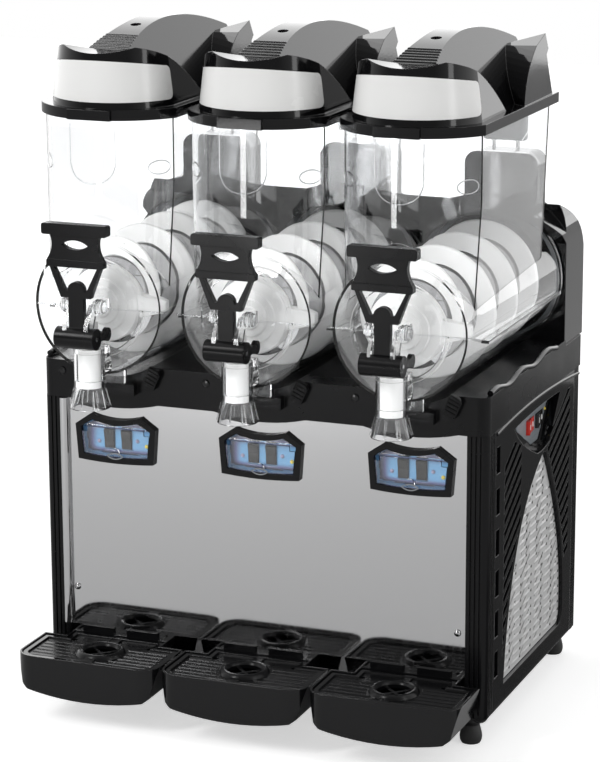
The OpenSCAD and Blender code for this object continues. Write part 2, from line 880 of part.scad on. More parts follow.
module air_filters() {
  rows = floor((deck_z - skirt_z - 130) / 15);
  color("#c9cbcd") place() both_sides() along_x(panel_x + 0.3, panel_x + 3) difference() {
    leaf(-0.4);
    intersection() {
      leaf(-7);
      for (c = [0:3], k = [0:rows]) translate([92 + 60 * c, skirt_z + 32 + 15 * k])
        polygon([[0, 0], [38, 20], [38, 24], [0, 4]]);
    }
  }
}

module rear_panel() {
  color(STEEL) place() difference() {
    union() {
      translate([-post_x + seat, cab_d - sheet, skirt_z])
        cube([2 * (post_x - seat), sheet, deck_z - skirt_z]);
      translate([-200, 0, 90]) y_bar(13, 13, cab_d - sheet, cab_d + 4);
    }
    translate([-200, 0, 90]) y_bar(6, 6, cab_d - 10, cab_d + 10);
    for (sx = [-1, 1], k = [0:11]) translate([sx * 120 - 80, cab_d - 5, 150 + 18 * k]) cube([160, 10, 7]);
  }
}

// Deck section across the bowls: ridges between the troughs
module deck_section(inset) {
  difference() {
    translate([-body_half + inset, deck_z - (inset > 0 ? bite : 0)])
      square([2 * (body_half - inset), deck_h - inset + (inset > 0 ? bite : 0)]);
    for (i = [0:2]) translate([(i - 1) * pitch, axis_z]) circle(trough_r + inset);
  }
}

// Apron over the front panel, with one shallow bow in each bay
module apron_face() {
  bow_half = 62;
  difference() {
    union() {
      translate([-body_half, deck_z]) square([2 * body_half, deck_h]);
      for (i = [0:2]) translate([(i - 1) * pitch, deck_z])
        polygon(concat(
          curve([-bow_half, 0], [0, -16], [bow_half, 0]),
          [[bow_half, bite], [-bow_half, bite]]
        ));
    }
    for (i = [0:2]) translate([(i - 1) * pitch, axis_z]) circle(trough_r);
  }
}

// Plan of the deck with round front corners, as a tall block
module deck_plan(inset) {
  translate([0, 0, deck_z - deck_h]) linear_extrude(3 * deck_h)
    round_rect(body_half - inset, apron_y + inset, 2 * wall_y, deck_round - inset);
}

module top_deck() {
  rear_top = deck_z + sill_h;
  color(BLACK) place() {
    difference() {
      intersection() {
        union() {
          along_y(apron_y, wall_y - seat) deck_section(0);
          along_y(apron_y, apron_y + shell) apron_face();
        }
        deck_plan(0);
      }
      intersection() {
        along_y(apron_y + shell, wall_y - seat - shell) deck_section(shell);
        deck_plan(shell);
      }
    }
    difference() {
      translate([-body_half, wall_y - seat - bite, deck_z])
        cube([2 * body_half, cab_d - wall_y + seat + bite, sill_h]);
      translate([-body_half + shell, wall_y, deck_z - bite])
        cube([2 * (body_half - shell), cab_d - wall_y - shell, rear_top - deck_z - shell + bite]);
    }
    for (i = [0:2]) translate([(i - 1) * pitch - 34, apron_y - 12, latch_z - 15]) cube([68, 12 + bite, 15]);
  }
}

// Side view of the casing behind the bowls, with the brow over their rear ends
module casing_profile(inset) {
  top = axis_z + shoulder_r - inset;
  rear = casing_rear - inset;
  low = deck_z + sill_h;
  polygon(concat(
    [[wall_y + inset, low + inset], [rear, low + inset], [rear, axis_z + 30]],
    curve([rear, axis_z + 30], [rear - 16, top - 30], [tank_rear + 4 + inset, top], 12),
    [[tank_rear + 4 + inset, top - 24 + 2 * inset], [wall_y + inset, axis_z + 46 + inset]]
  ));
}

// Rear casing seen from the front, with rounded upper corners
module casing_outline(inset) {
  half = body_half - 2 - inset;
  top = axis_z + shoulder_r - inset;
  corner_w = 48;
  corner_h = 62;
  polygon(concat(
    [[-half, deck_z], [half, deck_z], [half, top - corner_h]],
    curve([half, top - corner_h], [half, top], [half - corner_w, top], 8),
    [[half - corner_w, top], [-half + corner_w, top]],
    curve([-half + corner_w, top], [-half, top], [-half, top - corner_h], 8)
  ));
}

module casing_body(inset) {
  half = body_half - 2 - inset;
  intersection() {
    along_x(-half, half) casing_profile(inset);
    along_y(tank_rear, casing_rear + 1) casing_outline(inset);
  }
}

// Rounded tower behind one tank, up to just under the lid
module tower_outline() {
  translate([tower_x, 0]) round_rect(tower_half, axis_z + 84, tower_top, 16);
}

module tower() {
  along_y(tank_rear + 8, tank_rear + 50) tower_outline();
}

// Space in front of the casing wall, outside the round collars that follow the bowls
module collar_gaps() {
  along_y(tank_rear, wall_y) difference() {
    translate([-body_half, axis_z]) square([2 * body_half, 2 * shoulder_r]);
    for (i = [0:2]) translate([(i - 1) * pitch, 0]) {
      translate([0, axis_z]) circle(shoulder_r);
      tower_outline();
    }
  }
}

module rear_casing() {
  half = body_half - 2;
  color(GLOSS) place() difference() {
    union() {
      casing_body(0);
      for (i = [0:2]) translate([(i - 1) * pitch, 0, 0]) {
        tower();
        translate([0, 0, axis_z]) y_bar(boss_r, boss_r, boss_y, wall_y + bite);
      }
    }
    difference() {
      casing_body(shell);
      translate([-half, tank_rear, axis_z]) cube([2 * half, wall_y + shell - tank_rear, 2 * bowl_rear_r]);
    }
    collar_gaps();
    for (i = [0:2]) translate([(i - 1) * pitch, 0, 0]) {
      translate([0, 0, axis_z]) difference() {
        y_bar(trough_r, trough_r, tank_rear, wall_y);
        y_bar(boss_r, boss_r, boss_y, wall_y);
      }
      translate([0, 0, axis_z]) y_bar(shaft_r + 2, shaft_r + 2, tank_rear, wall_y + 10);
    }
  }
}

// Cooling unit

module compressor() {
  r = 68;
  color(BLACK) place() translate([-150, 230, panel_z]) {
    rotate_extrude() polygon(concat(
      [[0, 12], [r - 8, 12], [r, 22], [r, 120]],
      curve([r, 120], [r, 165], [0, 168], 10)
    ));
    for (sx = [-1, 1], sy = [-1, 1]) translate([sx * 55, sy * 55, 0]) cylinder(r = 11, h = 14);
    translate([-70, -70, 10]) cube([140, 140, 4]);
  }
}

condenser_x = body_half - 90;
fan_z = panel_z + 130;
fan_y = 200;

module condenser() {
  color("#8c8f92") place() difference() {
    translate([condenser_x, fan_y - 125, panel_z]) cube([44, 250, 260]);
    for (k = [0:15]) translate([condenser_x - bite, fan_y - 118 + 15 * k, panel_z + 10]) cube([46, 9, 240]);
  }
}

module fan_shroud() {
  x0 = condenser_x - 46 - seat;
  color("#55585a") place() difference() {
    union() {
      along_x(x0, condenser_x - seat) difference() {
        translate([fan_y - 115, panel_z]) square([230, 245]);
        translate([fan_y, fan_z]) circle(105);
      }
      for (s = [-1, 1]) along_x(x0 - 4, x0) translate([fan_y - 115, fan_z + s * 20 - 5]) square([230, 10]);
      translate([0, fan_y, fan_z]) x_bar(36, x0 - 44, x0);
      translate([0, fan_y, fan_z]) x_bar(4, x0 - bite, x0 + 30);
    }
  }
}

module fan_blades() {
  x0 = condenser_x - 46;
  color("#3a3d40") place() translate([0, fan_y, fan_z]) difference() {
    union() {
      x_bar(30, x0 + 4, x0 + 26);
      for (k = [0:4]) rotate([72 * k, 0, 0]) translate([x0 + 15, 0, 62]) rotate([0, 0, 30])
        cube([3, 38, 76], center = true);
    }
    x_bar(4 + run, x0 - bite, x0 + 40);
  }
}

// Controls

module control_bezels() {
  color(BLACK) for (i = [0:2]) at_bowl(i) translate([0, 0, bezel_z]) difference() {
    along_y(-bezel_t, 0) difference() {
      bezel_outline(0);
      bezel_outline(bezel_frame);
    }
    translate([0, door_y, door_z - bezel_z - 3]) x_bar(1.5 + run, -bezel_half + 5, bezel_half - 5);
  }
}

module control_boxes() {
  half = bezel_half + 2;
  low = bezel_z - 50;
  high = bezel_z + 18;
  color("#3f78c8") for (i = [0:2]) at_bowl(i) difference() {
    translate([-half, sheet, low]) cube([2 * half, box_d, high - low]);
    along_y(0, plate_y) translate([0, bezel_z]) bezel_outline(bezel_frame - 1);
    translate([-half + 3, plate_y + 2, low + 3]) cube([2 * half - 6, box_d, high - low - 6]);
    for (x = rocker_x) along_y(plate_y - bite, plate_y + 3) translate([x, rocker_z])
      rocker_hole(rocker_w, 2 * rocker_r);
  }
}

module control_door(i) {
  neck = bezel_half - bezel_frame - 9;
  axis = door_z - 3;
  foot = bezel_z - 37;
  color(CLEAR) at_bowl(i) {
    along_y(door_y - 1.25, door_y + 1.25) translate([0, bezel_z]) difference() {
      bezel_outline(bezel_frame + 1);
      both_sides() translate([neck, -9]) square(30);
    }
    translate([0, door_y, axis]) {
      x_bar(2.2, -neck, neck);
      x_bar(1.5, -bezel_half + 6, bezel_half - 6);
    }
    along_y(door_y - 4, door_y) translate([0, foot - 31]) intersection() {
      translate([0, 34 + 26]) circle(30);
      translate([0, 34 + 0]) circle(6);
    }
  }
}

// Rocker turning on the middle of its plate, drawn as (depth, along)
module rocker_profile(r) {
  rotate(rocker_tilt) intersection() {
    circle(r);
    polygon([[-rocker_front, -r], [1 - rocker_front, 0], [-rocker_front, r], [6, r], [6, -r]]);
  }
}

module rocker(i, k) {
  color("#26292e") at_bowl(i) translate([rocker_x[k] - rocker_w / 2, plate_y + 1, rocker_z])
    along_x(0, rocker_w) rocker_profile(rocker_r);
}

// Rocker on the right side, facing out and turning on an upright axis
module side_rocker(y, tint) {
  color(tint) place() translate([switch_x - 2, y, switch_z - switch_h / 2])
    linear_extrude(switch_h) rotate(180) rocker_profile(switch_r);
}

// Drip tray

// Plan of a tray, with notched rear corners and round front corners
module tray_plan(inset) {
  half = tray_half - inset;
  rear = -seat - inset;
  difference() {
    union() {
      round_rect(half, inset - tray_d, -40, 24 - inset);
      translate([-half, -66]) square([2 * half, 66 + rear]);
    }
    for (s = [0, 1]) mirror([s, 0]) translate([tray_half - notch_w - inset, -notch_d - inset])
      square([notch_w + bite + inset, notch_d + bite + inset]);
  }
}

// Front view of a tray: leaning sides and a bowed floor
module tray_view(inset) {
  top = tray_z + lip_h + 2 * bite;
  half = tray_half - inset;
  low = tray_z - tray_h + inset;
  lean = 9;
  polygon(concat(
    [[half, top], [half, tray_z], [half - lean, low + 6]],
    curve([half - lean - 8, low], [0, low - 2 * tray_bow], [8 + lean - half, low]),
    [[lean - half, low + 6], [-half, tray_z], [-half, top]]
  ));
}

module drip_tray(i) {
  color(GLOSS) at_bowl(i) {
    difference() {
      intersection() {
        translate([0, 0, tray_z - tray_h - 2 * tray_bow]) linear_extrude(tray_h + 2 * tray_bow) tray_plan(0);
        along_y(-2 * tray_d, 0) tray_view(0);
      }
      translate([0, 0, grid_z - grid_t - seat]) linear_extrude(tray_h) tray_plan(tray_wall);
      intersection() {
        translate([0, 0, tray_z - tray_h - 2 * tray_bow]) linear_extrude(2 * tray_h) tray_plan(tray_wall + 4);
        along_y(-2 * tray_d, 0) tray_view(tray_wall + 2);
      }
    }
    difference() {
      translate([-lip_half, -seat - tray_wall, tray_z - 10]) cube([2 * lip_half, tray_wall, lip_h + 10]);
      translate([-9, -seat - 2 * tray_wall, tray_z]) cube([18, 3 * tray_wall, lip_h + bite]);
    }
  }
}

module drip_grid(i) {
  z0 = grid_z - grid_t;
  crest_r = ring_r - ring_w / 2;
  ridge_end = tray_d / 2 - tray_wall - ridge_inset;
  color(BLACK) at_bowl(i) {
    difference() {
      union() {
        translate([0, 0, z0]) linear_extrude(grid_t) tray_plan(tray_wall + grid_gap);
        translate([0, ring_y, z0]) rotate_extrude() polygon(concat(
          [[ring_r - ring_w, grid_t / 2], [ring_r, grid_t / 2]],
          curve([ring_r, grid_t], [crest_r, grid_t + 2 * ring_h], [ring_r - ring_w, grid_t])
        ));
        for (y = [crest_r, -ridge_end]) translate([-ridge_w / 2, ring_y + y, z0])
          cube([ridge_w, ridge_end - crest_r, grid_t + ridge_h]);
      }
      translate([0, ring_y, z0 - bite]) cylinder(r = ring_bore, h = grid_t + 2 * ring_h);
      both_sides() translate([drain_x, drain_y, z0 - bite]) cylinder(r = drain_r, h = grid_t + 2 * bite);
    }
    for (a = [45, 135]) translate([0, ring_y, z0 + spoke_drop]) rotate(a)
      translate([-crest_r, -spoke_w / 2, 0]) cube([2 * crest_r, spoke_w, grid_t - 2 * spoke_drop]);
  }
}

base_pan();
feet();
corner_posts();
front_panel();
side_panel_left();
side_panel_right();
air_filters();
rear_panel();
top_deck();
rear_casing();
compressor();
condenser();
fan_shroud();
fan_blades();
gearmotors();
evaporators();
bowl_gaskets();
control_bezels();
control_boxes();
side_rocker(power_y, "#c03026");  // power_switch
side_rocker(light_y, "#26292e");  // light_switch
bowl(0);  // bowl_left
bowl(1);  // bowl_centre
bowl(2);  // bowl_right
tap_pin(0);  // tap_pin_left
tap_pin(1);  // tap_pin_centre
tap_pin(2);  // tap_pin_right
tap_lever(0);  // tap_lever_left
tap_lever(1);  // tap_lever_centre
tap_lever(2);  // tap_lever_right
tap_piston(0);  // tap_piston_left
tap_piston(1);  // tap_piston_centre
tap_piston(2);  // tap_piston_right
auger(0);  // auger_left
auger(1);  // auger_centre
auger(2);  // auger_right
drive_shaft(0);  // drive_shaft_left
drive_shaft(1);  // drive_shaft_centre
drive_shaft(2);  // drive_shaft_right
lid(0);  // lid_left
lid(1);  // lid_centre
lid(2);  // lid_right
lid_light(0);  // lid_light_left
lid_light(1);  // lid_light_centre
lid_light(2);  // lid_light_right
drip_tray(0);  // drip_tray_left
drip_tray(1);  // drip_tray_centre
drip_tray(2);  // drip_tray_right
drip_grid(0);  // drip_grid_left
drip_grid(1);  // drip_grid_centre
drip_grid(2);  // drip_grid_right
control_door(0);  // control_door_left
control_door(1);  // control_door_centre
control_door(2);  // control_door_right
rocker(0, 0);  // rocker_mix_left
rocker(1, 0);  // rocker_mix_centre
rocker(2, 0);  // rocker_mix_right
rocker(0, 1);  // rocker_cool_left
rocker(1, 1);  // rocker_cool_centre
rocker(2, 1);  // rocker_cool_right
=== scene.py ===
# %% [markdown]
# A granita dispenser with three clear bowls stands on a counter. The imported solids
# already have the right sizes and places, so they are loaded first and never moved.
# Everything below dresses them: a camera, a studio, finishes, and the small pieces
# that only the eye needs.

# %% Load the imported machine
import json
import math
import bmesh
import bpy
from mathutils import Matrix, Vector


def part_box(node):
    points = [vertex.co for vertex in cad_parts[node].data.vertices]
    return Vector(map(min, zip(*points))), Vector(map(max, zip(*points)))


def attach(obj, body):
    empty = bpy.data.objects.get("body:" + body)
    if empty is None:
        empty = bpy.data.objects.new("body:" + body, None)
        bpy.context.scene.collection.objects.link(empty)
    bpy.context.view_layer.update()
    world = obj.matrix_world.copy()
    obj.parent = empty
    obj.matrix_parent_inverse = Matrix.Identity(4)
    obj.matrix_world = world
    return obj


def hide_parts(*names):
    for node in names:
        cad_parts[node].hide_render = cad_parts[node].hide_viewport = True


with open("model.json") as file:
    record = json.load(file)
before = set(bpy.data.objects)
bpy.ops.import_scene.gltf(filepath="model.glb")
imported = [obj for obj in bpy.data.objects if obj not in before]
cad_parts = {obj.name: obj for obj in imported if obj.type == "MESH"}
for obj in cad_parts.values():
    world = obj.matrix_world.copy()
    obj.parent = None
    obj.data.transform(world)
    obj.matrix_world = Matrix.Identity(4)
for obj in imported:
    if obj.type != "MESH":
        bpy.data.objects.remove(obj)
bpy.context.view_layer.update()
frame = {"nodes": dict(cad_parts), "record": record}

# %% [markdown]
# Drawings of such a machine are in millimetres and start at the steel front panel.
# `spot` turns such a place into the frame's metres, so later cells can use the sizes
# that a fitter would read off the real machine: x from the middle, y back from the
# panel, z up from the counter.

# %% Places in millimetres
MM = 0.001
SIDES = ("left", "centre", "right")
panel_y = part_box("front_panel")[0].y


def spot(x, y, z):
    return Vector((x * MM, panel_y + y * MM, z * MM))


def middle_x(node):
    low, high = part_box(node)
    return (low.x + high.x) / 2 / MM


def middle_y(node):
    low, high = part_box(node)
    return ((low.y + high.y) / 2 - panel_y) / MM


bowl_x = {side: round(middle_x(f"bowl_{side}"), 2) for side in SIDES}
print("bowl middles in mm:", bowl_x)

# %% [markdown]
# The photograph was taken with a long lens from the front and a little to the right,
# looking down by about fourteen degrees. A camera is three directions and a place:
# `back` points from the machine to the lens, `right` lies level, and `up` follows
# from the two. A very small roll levels the picture as the photograph is levelled.

# %% Camera
lens_mm = 132.98
azimuth = math.radians(21.661)
elevation = math.radians(14.099)
roll = math.radians(-0.233)
camera_place = Vector((1.30168, -3.28746, 1.30390))

back = Vector((
    math.sin(azimuth) * math.cos(elevation),
    -math.cos(azimuth) * math.cos(elevation),
    math.sin(elevation),
))
right = Vector((math.cos(azimuth), math.sin(azimuth), 0))
up = back.cross(right)
right_rolled = right * math.cos(roll) + up * math.sin(roll)
up_rolled = up * math.cos(roll) - right * math.sin(roll)

camera_data = bpy.data.cameras.new("photo_camera")
camera_data.lens = lens_mm
camera_data.sensor_width = 36
camera = bpy.data.objects.new("photo_camera", camera_data)
turn = Matrix((right_rolled, up_rolled, back)).transposed().to_4x4()
camera.matrix_world = Matrix.Translation(camera_place) @ turn
bpy.context.scene.collection.objects.link(camera)
bpy.context.scene.camera = camera
bpy.context.scene.view_settings.view_transform = "Standard"
print("camera at", [round(v, 3) for v in camera_place])

# %% [markdown]
# A studio for glossy black and clear pieces is a white room: what they reflect is what
# makes them readable. The camera, and a view through clear plastic, see plain white.
# Reflections see a wall that is brightly lit behind the machine, which draws the sheen
# on the lids, and dim on the photographer's side, so that black faces turned to the
# lens stay black. Diffuse light gets an even soft grey, so that the lamps can still
# model the shapes.

# %% World
world = bpy.data.worlds.new("white_room")
bpy.context.scene.world = world
world.use_nodes = True
world_nodes = world.node_tree.nodes
world_links = world.node_tree.links
white = (1, 1, 1, 1)
room_fill = 0.55
front_dim, rear_bright = 0.3, 2.4
fade_reach = 0.75


def either(nodes, links, first, second):
    """1 where one of two yes-or-no values is 1."""
    larger = nodes.new("ShaderNodeMath")
    larger.operation = "MAXIMUM"
    links.new(first, larger.inputs[0])
    links.new(second, larger.inputs[1])
    return larger.outputs[0]


def mixed(nodes, links, fac, when_no, when_yes):
    mix = nodes.new("ShaderNodeMixShader")
    links.new(fac, mix.inputs["Fac"])
    links.new(when_no, mix.inputs[1])
    links.new(when_yes, mix.inputs[2])
    return mix.outputs[0]


def map_range(nodes, links, value, start, end, low=0.0, high=1.0):
    """Turns values from start to end into values from low to high."""
    span = nodes.new("ShaderNodeMapRange")
    limits = {"From Min": start, "From Max": end, "To Min": low, "To Max": high}
    for socket, limit in limits.items():
        span.inputs[socket].default_value = limit
    links.new(value, span.inputs["Value"])
    return span


fill = world_nodes["Background"]
backdrop = world_nodes.new("ShaderNodeBackground")
mirrored = world_nodes.new("ShaderNodeBackground")
for light in (fill, backdrop, mirrored):
    light.inputs["Color"].default_value = white
fill.inputs["Strength"].default_value = room_fill
backdrop.inputs["Strength"].default_value = 1.0
direction = world_nodes.new("ShaderNodeTexCoord")
along = world_nodes.new("ShaderNodeSeparateXYZ")
world_links.new(direction.outputs["Generated"], along.inputs["Vector"])
front_to_rear = map_range(
    world_nodes, world_links, along.outputs["Y"], -fade_reach, fade_reach, front_dim, rear_bright)
world_links.new(front_to_rear.outputs[0], mirrored.inputs["Strength"])
ray = world_nodes.new("ShaderNodeLightPath")
in_view = either(
    world_nodes, world_links, ray.outputs["Is Camera Ray"], ray.outputs["Is Transmission Ray"])
glossy_or_fill = mixed(
    world_nodes, world_links, ray.outputs["Is Glossy Ray"], fill.outputs[0], mirrored.outputs[0])
seen = mixed(world_nodes, world_links, in_view, glossy_or_fill, backdrop.outputs[0])
world_links.new(seen, world_nodes["World Output"].inputs["Surface"])
print("world: white in view, reflections", front_dim, "to", rear_bright, "fill", room_fill)

# %% [markdown]
# The floor is one wide sheet at the feet. Its paint is a little off white with a faint
# cloudiness. In the camera's view it glows: a little near the machine, so that the
# machine's own shadow stays, and more further out, so that it meets the white room
# without a line.

# %% Floor
floor_half = 6.0
glow_near, glow_far = 0.56, 0.75
near_reach, far_reach = 1.0, 3.0


def level_sheet(name, x_low, x_high, y_low, y_high, z):
    corners = [(x_low, y_low, z), (x_high, y_low, z), (x_high, y_high, z), (x_low, y_high, z)]
    mesh = bpy.data.meshes.new(name)
    mesh.from_pydata(corners, [], [(0, 1, 2, 3)])
    sheet = bpy.data.objects.new(name, mesh)
    bpy.context.scene.collection.objects.link(sheet)
    return sheet


floor = level_sheet("floor", -floor_half, floor_half, -floor_half, floor_half, 0)

floor_paint = bpy.data.materials.new("floor_paint")
floor_paint.use_nodes = True
nodes = floor_paint.node_tree.nodes
links = floor_paint.node_tree.links
shader = nodes["Principled BSDF"]
shader.inputs["Roughness"].default_value = 0.9
shader.inputs["Specular IOR Level"].default_value = 0.1
clouds = nodes.new("ShaderNodeTexNoise")
clouds.inputs["Scale"].default_value = 2.0
tint = nodes.new("ShaderNodeValToRGB")
tint.color_ramp.elements[0].color = (0.86, 0.86, 0.86, 1)
tint.color_ramp.elements[1].color = (0.92, 0.92, 0.92, 1)
links.new(clouds.outputs["Fac"], tint.inputs["Fac"])
links.new(tint.outputs["Color"], shader.inputs["Base Color"])
ray = nodes.new("ShaderNodeLightPath")
in_view = either(nodes, links, ray.outputs["Is Camera Ray"], ray.outputs["Is Transmission Ray"])
place = nodes.new("ShaderNodeTexCoord")
reach = nodes.new("ShaderNodeVectorMath")
reach.operation = "LENGTH"
links.new(place.outputs["Object"], reach.inputs[0])
rising = map_range(
    nodes, links, reach.outputs["Value"], near_reach, far_reach, glow_near, glow_far)
glow = nodes.new("ShaderNodeMath")
glow.operation = "MULTIPLY"
links.new(in_view, glow.inputs[0])
links.new(rising.outputs[0], glow.inputs[1])
shader.inputs["Emission Color"].default_value = white
links.new(glow.outputs[0], shader.inputs["Emission Strength"])
floor.data.materials.append(floor_paint)
print("floor:", 2 * floor_half, "m wide")

# %% [markdown]
# Glossy sheets show what lies beside them, and the right side would mirror the pale
# floor. Photographers lay a dark cloth there, called a flag, to keep black things black.
# This one is felt, and only reflections see it.

# %% Flag beside the machine
flag_x, flag_y, flag_z = (0.33, 1.05), (-0.2, 1.7), 0.002
flag = level_sheet("side_flag", *flag_x, *flag_y, flag_z)
flag.visible_camera = False
flag.visible_diffuse = False
flag.visible_transmission = False
flag.visible_shadow = False

felt = bpy.data.materials.new("black_felt")
felt.use_nodes = True
nodes = felt.node_tree.nodes
links = felt.node_tree.links
felt_noise = nodes.new("ShaderNodeTexNoise")
felt_noise.inputs["Scale"].default_value = 90
felt_tint = nodes.new("ShaderNodeValToRGB")
felt_tint.color_ramp.elements[0].color = (0.05, 0.05, 0.05, 1)
felt_tint.color_ramp.elements[1].color = (0.10, 0.10, 0.10, 1)
links.new(felt_noise.outputs["Fac"], felt_tint.inputs["Fac"])
links.new(felt_tint.outputs["Color"], nodes["Principled BSDF"].inputs["Base Color"])
nodes["Principled BSDF"].inputs["Roughness"].default_value = 0.95
flag.data.materials.append(felt)
print("flag laid beside the right side")

# %% [markdown]
# Three lamps. The key hangs high at the front left, a tall strip stands at the right,
# and a small flash low in front puts the bright stars on the towers. Narrow lamps are
# brighter for the same light, so edges catch crisp lines. Power grows with the square
# of the distance, so each lamp's wattage is worked out from the light it should bring
# to the machine.

# %% Lamps
aim = Vector((0, 0, 0.45))


def softbox(name, place, wide, tall, brightness):
    data = bpy.data.lights.new(name, "AREA")
    data.shape = "RECTANGLE"
    data.size = wide
    data.size_y = tall
    distance = (place - aim).length
    data.energy = brightness * math.pi ** 2 * distance ** 2
    lamp = bpy.data.objects.new(name, data)
    lamp.location = place
    lamp.rotation_mode = "QUATERNION"
    lamp.rotation_quaternion = (aim - place).to_track_quat("-Z", "Y")
    bpy.context.scene.collection.objects.link(lamp)
    return lamp


lamps = [
    softbox("key_softbox", Vector((-1.7, -2.4, 2.6)), 0.6, 1.4, 0.32),
    softbox("right_strip", Vector((2.8, -1.0, 1.6)), 0.5, 2.0, 0.14),
    softbox("front_flash", Vector((-0.68, -2.0, 0.33)), 0.3, 0.3, 0.06),
]
print("lamps:", [lamp.name for lamp in lamps])

# %% [markdown]
# Every finish starts from one Principled shader. `new_finish` sets what is the same
# all over. `noise` and `wave` make patterns, which `vary_roughness`, `vary_colour` and
# `raise_surface` lay on it. `soften_edges` lets the light see a small radius on every
# sharp edge, as moulded plastic and folded sheet have. Most of a noise pattern lies
# between the two values of `pattern_span`.

# %% Helpers for finishes
pattern_span = (0.3, 0.7)


def new_finish(name, colour, roughness, metallic=0.0, specular=0.5):
    finish = bpy.data.materials.new(name)
    finish.use_nodes = True
    shader = finish.node_tree.nodes["Principled BSDF"]
    shader.inputs["Base Color"].default_value = (*colour, 1)
    shader.inputs["Roughness"].default_value = roughness
    shader.inputs["Metallic"].default_value = metallic
    shader.inputs["Specular IOR Level"].default_value = specular
    return finish


def parts_of(finish):
    tree = finish.node_tree
    return tree.nodes, tree.links, tree.nodes["Principled BSDF"]


def noise(finish, scale, detail=4.0, stretch=(1, 1, 1)):
    nodes, links, _ = parts_of(finish)
    coords = nodes.new("ShaderNodeTexCoord")
    mapping = nodes.new("ShaderNodeMapping")
    mapping.inputs["Scale"].default_value = stretch
    texture = nodes.new("ShaderNodeTexNoise")
    texture.inputs["Scale"].default_value = scale
    texture.inputs["Detail"].default_value = detail
    links.new(coords.outputs["Object"], mapping.inputs["Vector"])
    links.new(mapping.outputs["Vector"], texture.inputs["Vector"])
    return texture.outputs["Fac"]


def wave(finish, axis, period, crest):
    """Even swells from 0 to 1 along an axis, one per period, with one crest at that place."""
    nodes, links, _ = parts_of(finish)
    coords = nodes.new("ShaderNodeTexCoord")
    texture = nodes.new("ShaderNodeTexWave")
    texture.bands_direction = axis
    texture.inputs["Scale"].default_value = 2 * math.pi / (20 * period)
    texture.inputs["Phase Offset"].default_value = math.pi - 2 * math.pi * crest / period
    links.new(coords.outputs["Object"], texture.inputs["Vector"])
    return texture.outputs["Fac"]


def product(finish, first, second):
    nodes, links, _ = parts_of(finish)
    times = nodes.new("ShaderNodeMath")
    times.operation = "MULTIPLY"
    links.new(first, times.inputs[0])
    links.new(second, times.inputs[1])
    return times.outputs[0]


def vary_roughness(finish, fac, low, high):
    nodes, links, shader = parts_of(finish)
    span = map_range(nodes, links, fac, *pattern_span, low, high)
    links.new(span.outputs[0], shader.inputs["Roughness"])


def vary_colour(finish, fac, first, second):
    nodes, links, shader = parts_of(finish)
    ramp = nodes.new("ShaderNodeValToRGB")
    for stop, position, colour in zip(ramp.color_ramp.elements, pattern_span, (first, second)):
        stop.position = position
        stop.color = (*colour, 1)
    links.new(fac, ramp.inputs["Fac"])
    links.new(ramp.outputs["Color"], shader.inputs["Base Color"])


def raise_surface(finish, fac, height, strength=1.0):
    """Bump whose full height is in metres, laid over any softened edges."""
    nodes, links, shader = parts_of(finish)
    bump = nodes.new("ShaderNodeBump")
    bump.inputs["Strength"].default_value = strength
    bump.inputs["Distance"].default_value = height
    links.new(fac, bump.inputs["Height"])
    before = shader.inputs["Normal"].links
    if before:
        links.new(before[0].from_socket, bump.inputs["Normal"])
    links.new(bump.outputs["Normal"], shader.inputs["Normal"])


def soften_edges(finish, radius):
    nodes, links, shader = parts_of(finish)
    bevel = nodes.new("ShaderNodeBevel")
    bevel.samples = 4
    bevel.inputs["Radius"].default_value = radius
    links.new(bevel.outputs["Normal"], shader.inputs["Normal"])


print("finish helpers ready")

# %% [markdown]
# The plastics. Gloss black covers the lids, the towers, the side sheets and the trays;
# satin black has the finer grain of a moulded grip; both get uneven gloss, because a
# perfectly even one looks like paint on glass. On the rear casing the fronts of the
# three towers swell a little. The white of the augers is a food-safe plastic with a
# little depth, so light enters it before it comes back.

# %% Plastics
deep_black = (0.004, 0.004, 0.0045)
tower_step, tower_crest_x = 200 * MM, 25 * MM
swell_tall, tower_crest_z = 500 * MM, 645 * MM
swell_front, swell_end, swell_height = 128 * MM, 135 * MM, 8 * MM


def gloss_black(name="gloss_black_plastic", specular=0.3):
    finish = new_finish(name, deep_black, 0.1, specular=specular)
    soften_edges(finish, 1.2 * MM)
    vary_roughness(finish, noise(finish, 9), 0.05, 0.11)
    raise_surface(finish, noise(finish, 260), 0.05 * MM, 0.25)
    return finish


def crowned_black():
    """Gloss black that swells on the tower fronts, and nowhere behind them."""
    finish = gloss_black("crowned_black_plastic", specular=0.6)
    nodes, links, _ = parts_of(finish)
    coords = nodes.new("ShaderNodeTexCoord")
    depth = nodes.new("ShaderNodeSeparateXYZ")
    links.new(coords.outputs["Object"], depth.inputs["Vector"])
    front = map_range(nodes, links, depth.outputs["Y"], swell_end, swell_front)
    across = wave(finish, "X", tower_step, tower_crest_x)
    upward = wave(finish, "Z", swell_tall, tower_crest_z)
    crown = product(finish, product(finish, across, upward), front.outputs[0])
    raise_surface(finish, crown, swell_height)
    return finish


def satin_black():
    finish = new_finish("satin_black_plastic", deep_black, 0.28, specular=0.17)
    soften_edges(finish, 1.0 * MM)
    vary_roughness(finish, noise(finish, 14), 0.20, 0.30)
    raise_surface(finish, noise(finish, 1400, detail=2), 0.06 * MM, 0.3)
    return finish


def foot_rubber():
    finish = new_finish("foot_rubber", (0.018, 0.018, 0.018), 0.7)
    vary_roughness(finish, noise(finish, 60), 0.6, 0.85)
    raise_surface(finish, noise(finish, 500), 0.1 * MM, 0.5)
    return finish


